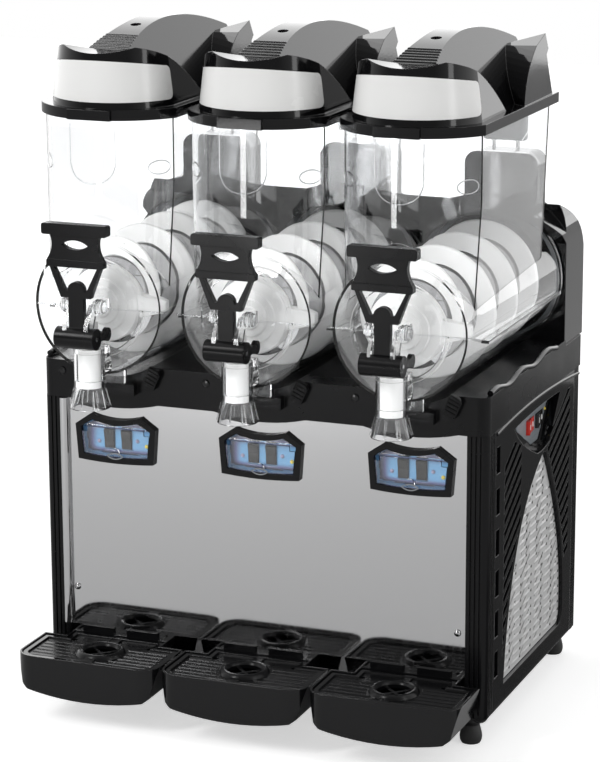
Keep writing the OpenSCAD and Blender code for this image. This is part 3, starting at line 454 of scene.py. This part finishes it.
def white_plastic():
    finish = new_finish("auger_white", (0.86, 0.86, 0.85), 0.35)
    _, _, shader = parts_of(finish)
    shader.inputs["Subsurface Weight"].default_value = 0.12
    shader.inputs["Subsurface Radius"].default_value = (0.004, 0.004, 0.004)
    shader.inputs["Subsurface Scale"].default_value = 1.0
    vary_colour(finish, noise(finish, 18), (0.84, 0.84, 0.83), (0.88, 0.88, 0.875))
    vary_roughness(finish, noise(finish, 30), 0.28, 0.42)
    return finish


def light_white():
    finish = new_finish("light_panel_white", (0.80, 0.80, 0.79), 0.25)
    vary_colour(finish, noise(finish, 4), (0.795, 0.795, 0.785), (0.81, 0.81, 0.80))
    vary_roughness(finish, noise(finish, 12), 0.24, 0.28)
    return finish


def clear_plastic():
    finish = new_finish("clear_polycarbonate", (0.97, 0.975, 0.98), 0.0)
    _, _, shader = parts_of(finish)
    shader.inputs["Transmission Weight"].default_value = 1.0
    shader.inputs["IOR"].default_value = 1.46
    vary_roughness(finish, noise(finish, 5), 0.0, 0.02)
    raise_surface(finish, noise(finish, 14), 0.4 * MM, 0.12)
    return finish


def seal_grey():
    finish = new_finish("seal_rubber_grey", (0.24, 0.25, 0.26), 0.6)
    vary_roughness(finish, noise(finish, 80), 0.5, 0.7)
    return finish


plastics = {
    "gloss_black": gloss_black(),
    "satin_black": satin_black(),
    "rubber_black": foot_rubber(),
    "white_plastic": white_plastic(),
    "light_white": light_white(),
    "clear_plastic": clear_plastic(),
    "seal_grey": seal_grey(),
}
print("plastics:", sorted(plastics))

# %% [markdown]
# The metals. The front panel is stainless steel polished almost to a mirror: it shows
# the trays upside down, and only a faint vertical brushing spreads the reflection.
# The freezing drums share it. Painted sheet, bare fins and the silver filter are duller.

# %% Metals
def polished_steel():
    finish = new_finish("polished_steel", (0.50, 0.50, 0.505), 0.06, metallic=1.0)
    vary_roughness(finish, noise(finish, 40, stretch=(6, 6, 0.2)), 0.035, 0.085)
    return finish


def silver_filter():
    finish = new_finish("silver_filter", (0.66, 0.66, 0.66), 0.34, metallic=0.15)
    soften_edges(finish, 0.6 * MM)
    vary_roughness(finish, noise(finish, 50), 0.3, 0.46)
    return finish


def painted_sheet(name, colour):
    finish = new_finish(name, colour, 0.35)
    soften_edges(finish, 0.8 * MM)
    vary_roughness(finish, noise(finish, 25), 0.28, 0.45)
    raise_surface(finish, noise(finish, 700), 0.04 * MM, 0.3)
    return finish


def fin_aluminium():
    finish = new_finish("fin_aluminium", (0.55, 0.56, 0.57), 0.4, metallic=1.0)
    vary_roughness(finish, noise(finish, 60, stretch=(1, 8, 1)), 0.3, 0.55)
    return finish


metals = {
    "polished_steel": polished_steel(),
    "silver_mesh": silver_filter(),
    "grey_metal": painted_sheet("grey_painted_sheet", (0.32, 0.33, 0.34)),
    "black_metal": painted_sheet("black_painted_sheet", (0.02, 0.02, 0.02)),
    "aluminium_fins": fin_aluminium(),
}
print("metals:", sorted(metals))

# %% [markdown]
# The controls: a plate lit blue from behind, dark rockers, and a red mains switch at
# the side.

# %% Switches and plates
def switch_plastic(name, colour):
    finish = new_finish(name, colour, 0.25, specular=0.25)
    soften_edges(finish, 0.6 * MM)
    vary_roughness(finish, noise(finish, 60), 0.18, 0.34)
    return finish


def blue_plate():
    finish = new_finish("lit_blue_plate", (0.06, 0.13, 0.24), 0.3)
    shader = parts_of(finish)[2]
    vary_colour(finish, noise(finish, 40), (0.05, 0.11, 0.20), (0.07, 0.14, 0.25))
    shader.inputs["Emission Color"].default_value = (0.10, 0.30, 0.55, 1)
    shader.inputs["Emission Strength"].default_value = 0.08
    return finish


switches = {
    "blue_plate": blue_plate(),
    "red_switch": switch_plastic("red_switch", (0.62, 0.03, 0.02)),
    "dark_switch": switch_plastic("dark_switch", (0.016, 0.015, 0.0145)),
}
print("switches:", sorted(switches))

# %% [markdown]
# The record says which finish each solid has. One loop hands them out, and the rear
# casing gets its own variant. The clear bowls and flaps cast no shadow, as thin clear
# walls hardly do.

# %% Finishes on the solids
finishes = {**plastics, **metals, **switches}
for subpart in frame["record"]["subparts"]:
    solid = frame["nodes"][subpart["node"]]
    solid.data.materials.clear()
    solid.data.materials.append(finishes[subpart["material_slot"]])
frame["nodes"]["rear_casing"].data.materials[0] = crowned_black()
for side in SIDES:
    frame["nodes"][f"bowl_{side}"].visible_shadow = False
    frame["nodes"][f"control_door_{side}"].visible_shadow = False

# %% [markdown]
# Small pieces come next. Three ways of making them cover nearly all: a lathe turns a
# profile about an axis (screws, hubs, bosses), a bead is a round bar along a path
# (rims, ribs, trim), and a slab is a flat outline with thickness and softened edges
# (plates, boxes). Each helper gives the piece the finish of a record slot and the body
# that carries it, so nothing is left hanging in the air when a joint moves.

# %% Helpers for pieces
def seat_piece(obj, body, slot):
    obj.data.materials.append(finishes[slot])
    bpy.context.scene.collection.objects.link(obj)
    bpy.context.view_layer.update()
    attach(obj, body)
    return obj


def mesh_piece(name, verts, faces, body, slot, sharp=35):
    mesh = bpy.data.meshes.new(name)
    mesh.from_pydata([tuple(v) for v in verts], [], faces)
    shape = bmesh.new()
    shape.from_mesh(mesh)
    bmesh.ops.recalc_face_normals(shape, faces=shape.faces)
    shape.to_mesh(mesh)
    shape.free()
    for face in mesh.polygons:
        face.use_smooth = True
    mesh.set_sharp_from_angle(angle=math.radians(sharp))
    return seat_piece(bpy.data.objects.new(name, mesh), body, slot)


def tube_faces(rings, count, base=0):
    """Faces that join rings of `count` points, the first at index `base`, and close both ends."""
    faces = []
    for ring in range(rings - 1):
        for k in range(count):
            a = base + ring * count + k
            b = base + ring * count + (k + 1) % count
            faces.append((a, b, b + count, a + count))
    last = base + (rings - 1) * count
    return faces + [tuple(range(base, base + count)), tuple(range(last, last + count))]


def turns(count):
    """The angles of one full turn in even steps."""
    return [2 * math.pi * k / count for k in range(count)]


def lathe(name, centre, axis, profile, body, slot, steps=48):
    """Turns (radius, height) pairs in mm about an axis through a place in the frame."""
    axis = Vector(axis).normalized()
    side = axis.orthogonal().normalized()
    across = axis.cross(side)
    verts = []
    for radius, height in profile:
        for turn in turns(steps):
            out = side * math.cos(turn) + across * math.sin(turn)
            verts.append(centre + (out * radius + axis * height) * MM)
    return mesh_piece(name, verts, tube_faces(len(profile), steps), body, slot)


def bead(name, points, radius, body, slot, closed=False):
    """A round bar of that radius in mm along points in the frame."""
    data = bpy.data.curves.new(name, "CURVE")
    data.dimensions = "3D"
    data.bevel_depth = radius * MM
    data.bevel_resolution = 3
    data.use_fill_caps = True
    line = data.splines.new("POLY")
    line.points.add(len(points) - 1)
    for point, place in zip(line.points, points):
        point.co = (*place, 1)
    line.use_cyclic_u = closed
    line.use_smooth = True
    return seat_piece(bpy.data.objects.new(name, data), body, slot)


def slab(name, outline, thick, body, slot, round_by=0.8):
    """A flat outline of places in the frame, thickened by a vector in mm, with soft edges."""
    verts = list(outline) + [place + thick * MM for place in outline]
    obj = mesh_piece(name, verts, tube_faces(2, len(outline)), body, slot)
    soft = obj.modifiers.new("soft_edges", "BEVEL")
    soft.width = round_by * MM
    soft.segments = 3
    soft.limit_method = "ANGLE"
    return obj


def swing(a, b, c, steps=12):
    """Places on a quadratic curve from a to c, drawn towards b, as tuples."""
    out = []
    for k in range(steps + 1):
        t = k / steps
        weights = ((1 - t) ** 2, 2 * t * (1 - t), t * t)
        out.append(tuple(sum(w * v for w, v in zip(weights, trio)) for trio in zip(a, b, c)))
    return out


print("piece helpers ready")

# %% [markdown]
# The augers scrape ice off the drums and push it to the tap. The solid is a spiral in
# straight steps, which is enough for a simulation; here a rounded section follows the
# same helix with three times as many steps, starts narrow, and grows out of an arm on
# the hub. The hub's face is turned in steps, like the moulded one behind the front disc.
# Each row of `arm_steps` is a radius on the arm with its half width, front and rear.

# %% Augers
axis_z = 538
spiral_pitch = 88
spiral_span = (-12, 300)
spiral_in, spiral_out = 57, 80
steps_per_turn = 72
start_width, start_steps = 0.35, 20
hub_face = [(0, -43), (7, -43), (9, -42), (14, -41.5), (15, -39.5), (23, -39), (24.5, -37),
            (33, -36.5), (34.5, -34.5), (43, -33.5), (46.5, -31.5), (48, -28), (48, -11), (7, -11)]
arm_steps = ((44, 15, -30, -12), (58, 12, -27, -9), (70, 9, -22, -7), (77, 6, -18, -7))


def blade_section(width):
    """(radius, offset along y) of the blade, whose tip is rounded."""
    tip = spiral_in + (spiral_out - spiral_in) * width
    return [(spiral_in, -5.5), (tip - 3, -3.2), (tip - 0.8, -2.2), (tip, 0), (tip - 0.8, 2.2),
            (tip - 3, 3.2), (spiral_in, 5.5)]


def spiral(name, x, body):
    first, last = spiral_span
    count = int(steps_per_turn * (last - first) / spiral_pitch)
    verts = []
    for k in range(count + 1):
        y = first + (last - first) * k / count
        turn = 2 * math.pi * (y - first) / spiral_pitch
        for radius, offset in blade_section(min(1, start_width + k / start_steps)):
            verts.append(spot(x + radius * math.cos(turn), y + offset, axis_z + radius * math.sin(turn)))
    faces = tube_faces(count + 1, len(blade_section(1)))
    return mesh_piece(name, verts, faces, body, "white_plastic", sharp=50)


def auger_arm(name, x, body):
    """Carries the spiral's front end: wide at the hub, narrow at the rim."""
    verts = []
    for radius, half, front, rear in arm_steps:
        soft = front + 3
        for side, y in ((-1, soft), (-0.6, front), (0.6, front), (1, soft), (1, rear), (-1, rear)):
            verts.append(spot(x + radius, y, axis_z + side * half))
    return mesh_piece(name, verts, tube_faces(len(arm_steps), 6), body, "white_plastic")


for side in SIDES:
    body = f"auger_{side}"
    turned = spiral(f"auger_spiral_{side}", bowl_x[side], body)
    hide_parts(f"auger_{side}")
    auger_arm(f"auger_arm_{side}", bowl_x[side], body)
    hub_place = spot(bowl_x[side], 0, axis_z)
    lathe(f"auger_hub_{side}", hub_place, (0, 1, 0), hub_face, body, "white_plastic", 72)

# %% [markdown]
# The clear bowls carry fine moulded detail that catches the light: a parting rib across
# the front disc, a plain oval on each front corner of the tank, a U-shaped flute in the
# middle of its front, knurled bosses beside the lever, and flutes on the nozzle bell.
# The bosses are turned; the rest are thin beads of the same clear plastic, laid on the
# wall and sunk into it a little so that no gap shows.

# %% Bowl details
tank_front_r, tank_arc_y = 99, 42
oval_x, oval_z, oval_half_wide, oval_half_tall = 76, 715, 15, 8.5
flute_half, flute_foot, flute_bend, flute_top, flute_step = 31, 695, 720, 768, 6
boss_x, boss_y, boss_z = 13, -88, 548
disc_y, disc_rib_z = -50.5, 537.5
bell_y, bell_flutes = -76, 10
bell_wall = ((19.9, 440), (22.6, 428), (25.3, 418))
knurl_teeth = [(8.7 + 0.9 * (k % 2), 3.5 + 1.3 * k) for k in range(9)]
knurl = [(4, 0), (7, 0.5), (8, 2)] + knurl_teeth + [(7.5, 16), (4.5, 17)]


def on_tank(x, along, z, proud=0.3):
    """Place on the tank's round front, `along` being the distance round from the middle."""
    turn = along / tank_front_r
    reach = tank_front_r + proud
    return spot(x + reach * math.sin(turn), tank_arc_y - reach * math.cos(turn), z)


def tank_oval(name, x, side, body):
    middle = side * math.asin(oval_x / tank_front_r) * tank_front_r
    ring = [(oval_half_wide * math.cos(t), oval_half_tall * math.sin(t)) for t in turns(40)]
    points = [on_tank(x, middle + u, oval_z + v) for u, v in ring]
    return bead(name, points, 0.8, body, "clear_plastic", closed=True)


def tank_flute(name, x, body):
    wall = [(flute_half, z) for z in range(flute_bend + flute_step, flute_top + 1, flute_step)]
    draw = (flute_half - 4, flute_foot + 1)
    one_half = swing((0, flute_foot), draw, (flute_half, flute_bend)) + wall
    other_half = [(-u, z) for u, z in reversed(one_half[1:])]
    points = [on_tank(x, u, z) for u, z in other_half + one_half]
    return bead(name, points, 0.8, body, "clear_plastic")


for side in SIDES:
    x = bowl_x[side]
    body = f"bowl_{side}"
    for s, word in ((-1, "left"), (1, "right")):
        tank_oval(f"tank_oval_{side}_{word}", x, s, body)
        boss_place = spot(x + s * boss_x, boss_y, boss_z)
        boss = lathe(f"tap_boss_{side}_{word}", boss_place, (s, 0, 0), knurl, body, "clear_plastic", 28)
    tank_flute(f"tank_flute_{side}", x, body)
    rib = [spot(x + u, disc_y, disc_rib_z) for u in (-92, -60, -20, 20, 60, 92)]
    bead(f"disc_rib_{side}", rib, 1.0, body, "clear_plastic")
    for k in range(bell_flutes):
        turn = 2 * math.pi * (k + 0.5) / bell_flutes
        across, along = math.cos(turn), math.sin(turn)
        flute = [spot(x + r * across, bell_y + r * along, z) for r, z in bell_wall]
        bead(f"bell_flute_{side}_{k}", flute, 1.1, body, "clear_plastic")

# %% [markdown]
# Behind each tank, under the lid's rear edge, hangs the grey plug of the lid's lamp, with
# two contact pins under it. It rises with the lid.

# %% Lamp plugs
plug_foot, plug_top = 725, 775
plug_front, plug_deep = 263, 15
plug_left, plug_right = -1, 56
plug_corners = ((plug_left, plug_foot), (plug_right, plug_foot),
                (plug_right, plug_top), (plug_left, plug_top))
pin_places, pin_long = (12, 44), 14
pin = [(1.2, 0), (2.2, 1.5), (2.2, 13), (3.2, 13), (3.2, 15)]
for side in SIDES:
    x = bowl_x[side]
    body = f"lid_{side}"
    outline = [spot(x + u, plug_front, z) for u, z in plug_corners]
    slab(f"lamp_plug_{side}", outline, Vector((0, plug_deep, 0)), body, "seal_grey", 4)
    for k, u in enumerate(pin_places):
        foot = spot(x + u, plug_front + plug_deep / 2, plug_foot - pin_long)
        lathe(f"plug_pin_{side}_{k}", foot, (0, 0, 1), pin, body, "polished_steel", 20)
print("lamp plugs: 3, pins: 6")

# %% [markdown]
# The steel panel is held by two dome-headed screws near its foot, and its left edge is
# rolled into a bright half-round strip beside the post. On the deck a round cap and a
# ribbed latch clip sit on the two sides of each nozzle.

# %% Panel and deck fittings
screw_x, screw_z = 261, 150
strip_x, strip_y, strip_r = -273.5, -2.5, 6.2
deck_front = -8
cap_x, cap_z = -72, 441
clip_x, clip_z, clip_thick = 57, 443, 9
clip_lean = math.radians(-24)
dome = [(4.6, -0.3), (4.6, 0.7), (4.1, 1.8), (2.6, 2.7), (0.9, 3.0), (0.8, 2.2)]
cap = [(5.2, -1), (5.2, 1.2), (4.4, 2.0), (4.0, 1.2), (0.5, 1.6)]
for word, x in (("left", -screw_x), ("right", screw_x)):
    head = spot(x, 0, screw_z)
    lathe(f"panel_screw_{word}", head, (0, -1, 0), dome, "cabinet", "polished_steel", 32)
strip = [spot(strip_x, strip_y, z) for z in (101, 200, 300, 404)]
bead("panel_edge_strip", strip, strip_r, "cabinet", "polished_steel")


def leaning(x, y, u, v):
    """Place on a clip that leans to one side, u across and v along it."""
    across = u * math.cos(clip_lean) - v * math.sin(clip_lean)
    along = u * math.sin(clip_lean) + v * math.cos(clip_lean)
    return spot(x + across, y, clip_z + along)


def latch_clip(name, x):
    corners = ((-9, -13), (9, -13), (9, 9), (5, 13), (-9, 13))
    outline = [leaning(x, deck_front, u, v) for u, v in corners]
    return slab(name, outline, Vector((0, -clip_thick, 0)), "cabinet", "satin_black", 1.5)


for side in SIDES:
    x = bowl_x[side]
    cap_place = spot(x + cap_x, deck_front, cap_z)
    lathe(f"deck_cap_{side}", cap_place, (0, -1, 0), cap, "cabinet", "gloss_black", 32)
    latch_clip(f"latch_clip_{side}", x + clip_x)
    for k in range(4):
        ridge = [leaning(x + clip_x, deck_front - clip_thick, u, -7.5 + 5 * k) for u in (-7, 7)]
        bead(f"latch_ridge_{side}_{k}", ridge, 1.2, "cabinet", "satin_black")
print("fittings: screws 2, strip 1, caps 3, clips 3")

# %% [markdown]
# The controls glow. Behind each clear flap lies a window lit blue. Its colour is painted
# light: bright blue where the backlight is strongest, fading to a dark violet at its top,
# foot and left. The blend is worked out from the place on the window and set both as the
# colour and as the glow. It is a grid of small cells with the cells of the two rockers left
# out. A yellow lamp sits near its right edge, with an unlit one on each side of the
# rockers. A lens-shaped bead marks the grip at the flap's foot.

# %% Lit windows
def lit_window_finish():
    finish = new_finish("lit_window", (0.2, 0.45, 0.8), 0.3)
    nodes, links, shader = parts_of(finish)
    coords = nodes.new("ShaderNodeTexCoord")
    split = nodes.new("ShaderNodeSeparateXYZ")
    links.new(coords.outputs["Generated"], split.inputs["Vector"])
    spans = []
    for axis, start, end in (("X", 0.02, 0.20), ("Z", 0.97, 0.60), ("Z", 0.0, 0.22)):
        span = map_range(nodes, links, split.outputs[axis], start, end)
        span.interpolation_type = "SMOOTHSTEP"
        spans.append(span.outputs[0])
    left, top, foot = spans
    glow = product(finish, product(finish, left, top), foot)
    # Painted light: the ramp runs from dark violet, where the painted backlight fades, to bright blue,
    # where it is strongest, and sets both the colour and the glow.
    ramp = nodes.new("ShaderNodeValToRGB")
    ramp.color_ramp.elements[0].color = (0.020, 0.022, 0.040, 1)
    ramp.color_ramp.elements[1].color = (0.105, 0.27, 0.46, 1)
    middle = ramp.color_ramp.elements.new(0.45)
    middle.color = (0.065, 0.075, 0.19, 1)
    links.new(glow, ramp.inputs["Fac"])
    links.new(ramp.outputs["Color"], shader.inputs["Base Color"])
    links.new(ramp.outputs["Color"], shader.inputs["Emission Color"])
    shader.inputs["Emission Strength"].default_value = 0.22
    return finish


window_finish = lit_window_finish()
yellow_lamp = switch_plastic("yellow_lamp", (0.80, 0.62, 0.08))
unlit_lamp = switch_plastic("unlit_lamp", (0.32, 0.30, 0.42))
bezel_z = 372
rocker_low, rocker_high = bezel_z - 34, bezel_z - 4
rocker_spans = ((-21.5, -6.5), (2.5, 17.5))
window_low, window_high, widest_at = -40, 6, -3
window_side, slope_over, slope_under = 48, 1.7, 0.08
foot_bow, top_edge, top_dip, dip_half = 3.5, 6.5, 5, 32
window_y, lamp_y = 8.7, 8.6
tab_half, tab_z, tab_bow, tab_y = 11, 333.5, 7.5, -7.6


def window_half(z):
    """Half width of the bezel's opening at height z over its middle line."""
    if z > widest_at:
        return window_side - slope_over * (z - widest_at)
    return window_side - slope_under * (widest_at - z)


def lit_window(name, x):
    cell = 1.5
    verts, faces, index = [], [], {}
    columns = int(window_side / cell)
    for row in range(int(window_low / cell), int(window_high / cell)):
        for col in range(-columns, columns):
            u, v = col * cell, row * cell
            middle = u + cell / 2
            half = window_half(v + cell)
            inside = -half <= u and u + cell <= half
            low_edge = v >= window_low + foot_bow * (middle / window_side) ** 2
            high_edge = v + cell <= top_edge - top_dip * (1 - min(1, abs(middle) / dip_half))
            beside = any(a < middle < b for a, b in rocker_spans)
            level = rocker_low < bezel_z + v + cell / 2 < rocker_high
            if not (inside and low_edge and high_edge) or (beside and level):
                continue
            corner_ids = []
            for du, dv in ((0, 0), (1, 0), (1, 1), (0, 1)):
                key = (col + du, row + dv)
                if key not in index:
                    index[key] = len(verts)
                    verts.append(spot(x + key[0] * cell, window_y, bezel_z + key[1] * cell))
                corner_ids.append(index[key])
            faces.append(tuple(corner_ids))
    obj = mesh_piece(name, verts, faces, "cabinet", "blue_plate")
    obj.data.materials[0] = window_finish
    thicken = obj.modifiers.new("thickness", "SOLIDIFY")
    thicken.thickness = 0.25 * MM
    return obj


def small_lamp(name, x, z, finish):
    dome = [(2.6, -0.5), (2.6, 0.6), (2.1, 1.6), (1.1, 2.2), (0.2, 2.4)]
    obj = lathe(name, spot(x, lamp_y, z), (0, -1, 0), dome, "cabinet", "blue_plate", 24)
    obj.data.materials[0] = finish
    return obj


for side in SIDES:
    x = bowl_x[side]
    lit_window(f"lit_window_{side}", x)
    small_lamp(f"lamp_on_{side}", x + 38, 346, yellow_lamp)
    small_lamp(f"lamp_off_{side}_a", x - 29, 348, unlit_lamp)
    small_lamp(f"lamp_off_{side}_b", x + 25, 352, unlit_lamp)
    tab_left, tab_right = (-tab_half, tab_z), (tab_half, tab_z)
    lens = swing(tab_left, (0, tab_z + tab_bow), tab_right)
    lens += swing(tab_right, (0, tab_z - tab_bow), tab_left)[1:-1]
    tab = [spot(x + u, tab_y, z) for u, z in lens]
    bead(f"flap_tab_{side}", tab, 0.8, f"door_{side}", "seal_grey", closed=True)
print("lit windows: 3")

# %% [markdown]
# On each side the silver filter is a leaf-shaped sheet with rows of pressed louvres. One
# louvre is a narrow ridge: its upper half catches the light and its lower half is in
# shade. It grows out of the sheet at the front and ends in a small black triangle at the
# rear, painted shade where the louvre opens. A loop lays them out in columns, shifts one
# zone by half a column, and keeps only those inside the leaf. A black bead frames the
# leaf's rear edge and foot. Two more beads trim the deck's joint with the side sheet and
# its wavy upper rim.

# %% Filter louvres
louvre_long, louvre_tall, louvre_least = 31, 6.5, 10
first_column, column_step = 72, 45
first_row, row_step, rows, last_z = 71, 10.8, 24, 320
shifted_zone = (185, 258)
clear_front, clear_rear = 4, 9
leaf_left = swing((222, 325), (95, 266), (68, 70), 40)
leaf_right = swing((238, 325), (332, 196), (326, 94), 40)


def edge_at(edge, z):
    """y of a leaf edge at height z, between the two nearest points."""
    for (y0, z0), (y1, z1) in zip(edge, edge[1:]):
        if z1 <= z <= z0:
            return y0 + (y1 - y0) * (z - z0) / (z1 - z0)
    return edge[-1][0]


def louvre_places():
    places = []
    for row in range(rows):
        z = first_row + row_step * row
        shift = column_step / 2 if shifted_zone[0] < z < shifted_zone[1] else 0
        low, high = edge_at(leaf_left, z + louvre_tall), edge_at(leaf_right, z)
        for column in range(-1, 7):
            y = first_column + column_step * column + shift
            front, rear = max(y, low + clear_front), min(y + louvre_long, high - clear_rear)
            if z < last_z and rear - front > louvre_least:
                places.append((front, rear, z))
    return places


def louvres(name, face_x, out):
    """Ridges of three points across, at four places from front to rear."""
    verts, faces = [], []
    for front, rear, z in louvre_places():
        base = len(verts)
        for y, rise in ((front, -0.2), (front + 6, 0.7), (rear - 4, 0.9), (rear, 0.5)):
            for lift, up in ((-0.3, 0.3), (rise, 3.0), (-0.3, louvre_tall)):
                verts.append(spot(face_x + out * lift, y, z + up))
        faces += tube_faces(4, 3, base)
    return mesh_piece(name, verts, faces, "cabinet", "silver_mesh", sharp=8)


def louvre_mouth_shades(name, face_x, out):
    """Thin black triangles behind the ridges: painted shade where each louvre opens at the rear."""
    verts, faces = [], []
    for _, rear, z in louvre_places():
        base = len(verts)
        for lift in (-0.4, 0.5):
            for y, up in ((rear - 0.5, 2.2), (rear + 5.5, 0.6), (rear + 5.5, 4.2)):
                verts.append(spot(face_x + out * lift, y, z + up))
        faces += tube_faces(2, 3, base)
    return mesh_piece(name, verts, faces, "cabinet", "black_metal")


rear_edge = [(y + 5, z) for y, z in leaf_right]
heel = swing((331, 92), (331, 62), (305, 61), 6)
frame_line = [(234, 331)] + rear_edge + heel + [(180, 61), (66, 61)]
joint_line = swing((30, 401), (200, 416), (386, 396), 16)
rim_z, rim_wave, rim_run = 456, 3.5, 17
rim_line = [(y, rim_z + rim_wave * math.sin(y / rim_run)) for y in range(8, 290, 6)]
trims = (("leaf_frame", frame_line, 292, 4), ("deck_joint", joint_line, 298.8, 2.6),
         ("deck_rim", rim_line, 297, 4.2))
filter_low, filter_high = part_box("air_filters")
for word, out, face in (("left", -1, filter_low.x / MM), ("right", 1, filter_high.x / MM)):
    louvres(f"filter_louvres_{word}", face, out)
    # Black triangles of painted shade at the louvres' rear ends.
    louvre_mouth_shades(f"louvre_mouth_shades_{word}", face, out)
    for piece, line, x, radius in trims:
        path = [spot(out * x, y, z) for y, z in line]
        bead(f"{piece}_{word}", path, radius, "cabinet", "gloss_black")
print("louvres on each side:", len(louvre_places()))

# %% [markdown]
# The two side switches sit on a grey plate at the bottom of their recess. The plate is
# a grid of small cells, like the lit windows, with the cells under the rockers left out.
# The rockers carry the usual bar and ring in white, and a small yellow lamp sits beside
# them.

# %% Side switch plate
plate_x = 286
plate_low, plate_high = 340, 388
plate_front, plate_long = 145, 150
rocker_z, rocker_clear_y, rocker_clear_z = 366, 17.5, 10
rocker_lean = math.radians(8)
rocker_deep, rocker_dish = 4, 16.5
rocker_places = {"power": middle_y("power_switch"), "light": middle_y("light_switch")}
plate_finish = painted_sheet("switch_plate_paint", (0.30, 0.33, 0.36))


def on_plate(y, z):
    """Whether a place lies on the plate and clear of both rockers."""
    front = max(205 - 1.9 * (z - 345), plate_front + 5)
    rear = 244 + 0.9 * (z - plate_low)
    beside = all(abs(y - middle) > rocker_clear_y for middle in rocker_places.values())
    return front < y < rear and (beside or abs(z - rocker_z) > rocker_clear_z)


def switch_plate(name, cell=1.5):
    verts, faces = [], []
    for row in range(int((plate_high - plate_low) / cell)):
        for col in range(int(plate_long / cell)):
            y, z = plate_front + col * cell, plate_low + row * cell
            if on_plate(y + cell / 2, z + cell / 2):
                base = len(verts)
                for dy, dz in ((0, 0), (1, 0), (1, 1), (0, 1)):
                    verts.append(spot(plate_x + 0.5, y + dy * cell, z + dz * cell))
                faces.append(tuple(range(base, base + 4)))
    obj = mesh_piece(name, verts, faces, "cabinet", "grey_metal")
    obj.data.materials[0] = plate_finish
    thicken = obj.modifiers.new("thickness", "SOLIDIFY")
    thicken.thickness = 0.4 * MM
    return obj


def on_rocker(middle, along, up, proud=0.2):
    """Place on a side rocker's dished front at rest, where it leans by eight degrees."""
    depth = rocker_deep + abs(along) / rocker_dish + proud
    lean_cos, lean_sin = math.cos(rocker_lean), math.sin(rocker_lean)
    x = plate_x - 2 + depth * lean_cos + along * lean_sin
    return spot(x, middle + depth * lean_sin - along * lean_cos, rocker_z + up)


switch_plate("switch_plate")
for word, middle in rocker_places.items():
    body = f"{word}_rocker"
    bar = [on_rocker(middle, 9, up) for up in (-3.5, 0, 3.5)]
    bead(f"{word}_bar", bar, 0.6, body, "light_white")
    ring = [on_rocker(middle, -9 + 2.6 * math.cos(t), 3.2 * math.sin(t)) for t in turns(20)]
    bead(f"{word}_ring", ring, 0.5, body, "light_white", closed=True)
led = [(2.0, -0.5), (2.0, 0.8), (1.2, 1.8), (0.2, 2.1)]
side_lamp = lathe("side_lamp", spot(plate_x + 0.5, 272, 374), (1, 0, 0), led, "cabinet", "blue_plate", 20)
side_lamp.data.materials[0] = yellow_lamp

# %% [markdown]
# Each drip grid has a raised border, a flat band just inside the tray's rim. Five copies
# of the tray's outline, each moved in and raised by its own amount, are joined into a
# closed band with a soft outer edge. Fine ribs run across the flat between the border,
# the ring and the ridge in the middle.

# %% Grid borders and ribs
tray_half, tray_deep, tray_corner = 98, 115, 24
notch_wide, notch_deep = 31, 24
band_low, band_high = 85.5, 88.4


def tray_outline(inset):
    """(x, y) round a tray, moved in by so much: notched rear corners, round front ones."""
    half = tray_half - inset
    radius = tray_corner - inset
    side = [(tray_half - notch_wide - inset, -0.3 - inset),
            (tray_half - notch_wide - inset, -notch_deep - inset),
            (half, -notch_deep - inset)]
    for k in range(9):
        turn = math.pi / 2 * k / 8
        x = half - radius + radius * math.cos(turn)
        side.append((x, tray_corner - tray_deep - radius * math.sin(turn)))
    return side + [(-x, y) for x, y in reversed(side)]


def grid_border(name, middle, body):
    rings = ((3.6, band_low), (3.6, band_high - 0.6), (4.2, band_high),
             (10.0, band_high), (11.0, band_low))
    verts, faces = [], []
    for inset, z in rings:
        verts += [spot(middle + x, y, z) for x, y in tray_outline(inset)]
    count = len(tray_outline(0))
    for ring in range(len(rings)):
        this = ring * count
        after = (ring + 1) % len(rings) * count
        for k in range(count):
            k_next = (k + 1) % count
            faces.append((this + k, this + k_next, after + k_next, after + k))
    return mesh_piece(name, verts, faces, body, "gloss_black")


rib_step, rib_half, rib_foot, rib_top, rib_margin = 11, 1.3, 85.8, 87.0, 14
ring_middle, ring_clear, ridge_clear = -61.5, 35, 9
drain_row, drain_clear = -28, 6


def rib_spans():
    """(y, inner x, outer x) of each rib on one half of a grid."""
    spans = []
    for k in range(1, 10):
        y = -rib_step * k
        outer = tray_half - rib_margin
        if y > -notch_deep - rib_margin:
            outer -= notch_wide
        past = tray_corner - tray_deep - y
        if past > 0:
            radius = tray_corner - rib_margin
            outer += math.sqrt(max(0, radius ** 2 - past ** 2)) - radius
        inner = ridge_clear
        if abs(y - ring_middle) < ring_clear:
            inner = max(inner, math.sqrt(ring_clear ** 2 - (y - ring_middle) ** 2))
        inside = rib_margin - tray_deep < y < -rib_margin
        if inside and abs(y - drain_row) > drain_clear:
            spans.append((y, inner, outer))
    return spans


def grid_ribs(name, middle, body):
    verts, faces = [], []
    for y, inner, outer in rib_spans():
        for out in (-1, 1):
            base = len(verts)
            for x in (inner, outer):
                for step, z in ((-rib_half, rib_foot), (0, rib_top), (rib_half, rib_foot)):
                    verts.append(spot(middle + out * x, y + step, z))
            faces += tube_faces(2, 3, base)
    return mesh_piece(name, verts, faces, body, "gloss_black", sharp=20)


for side in SIDES:
    middle = middle_x(f"drip_grid_{side}")
    grid_border(f"grid_border_{side}", middle, f"grid_{side}")
    grid_ribs(f"grid_ribs_{side}", middle, f"grid_{side}")
print("ribs on each grid:", 2 * len(rib_spans()))
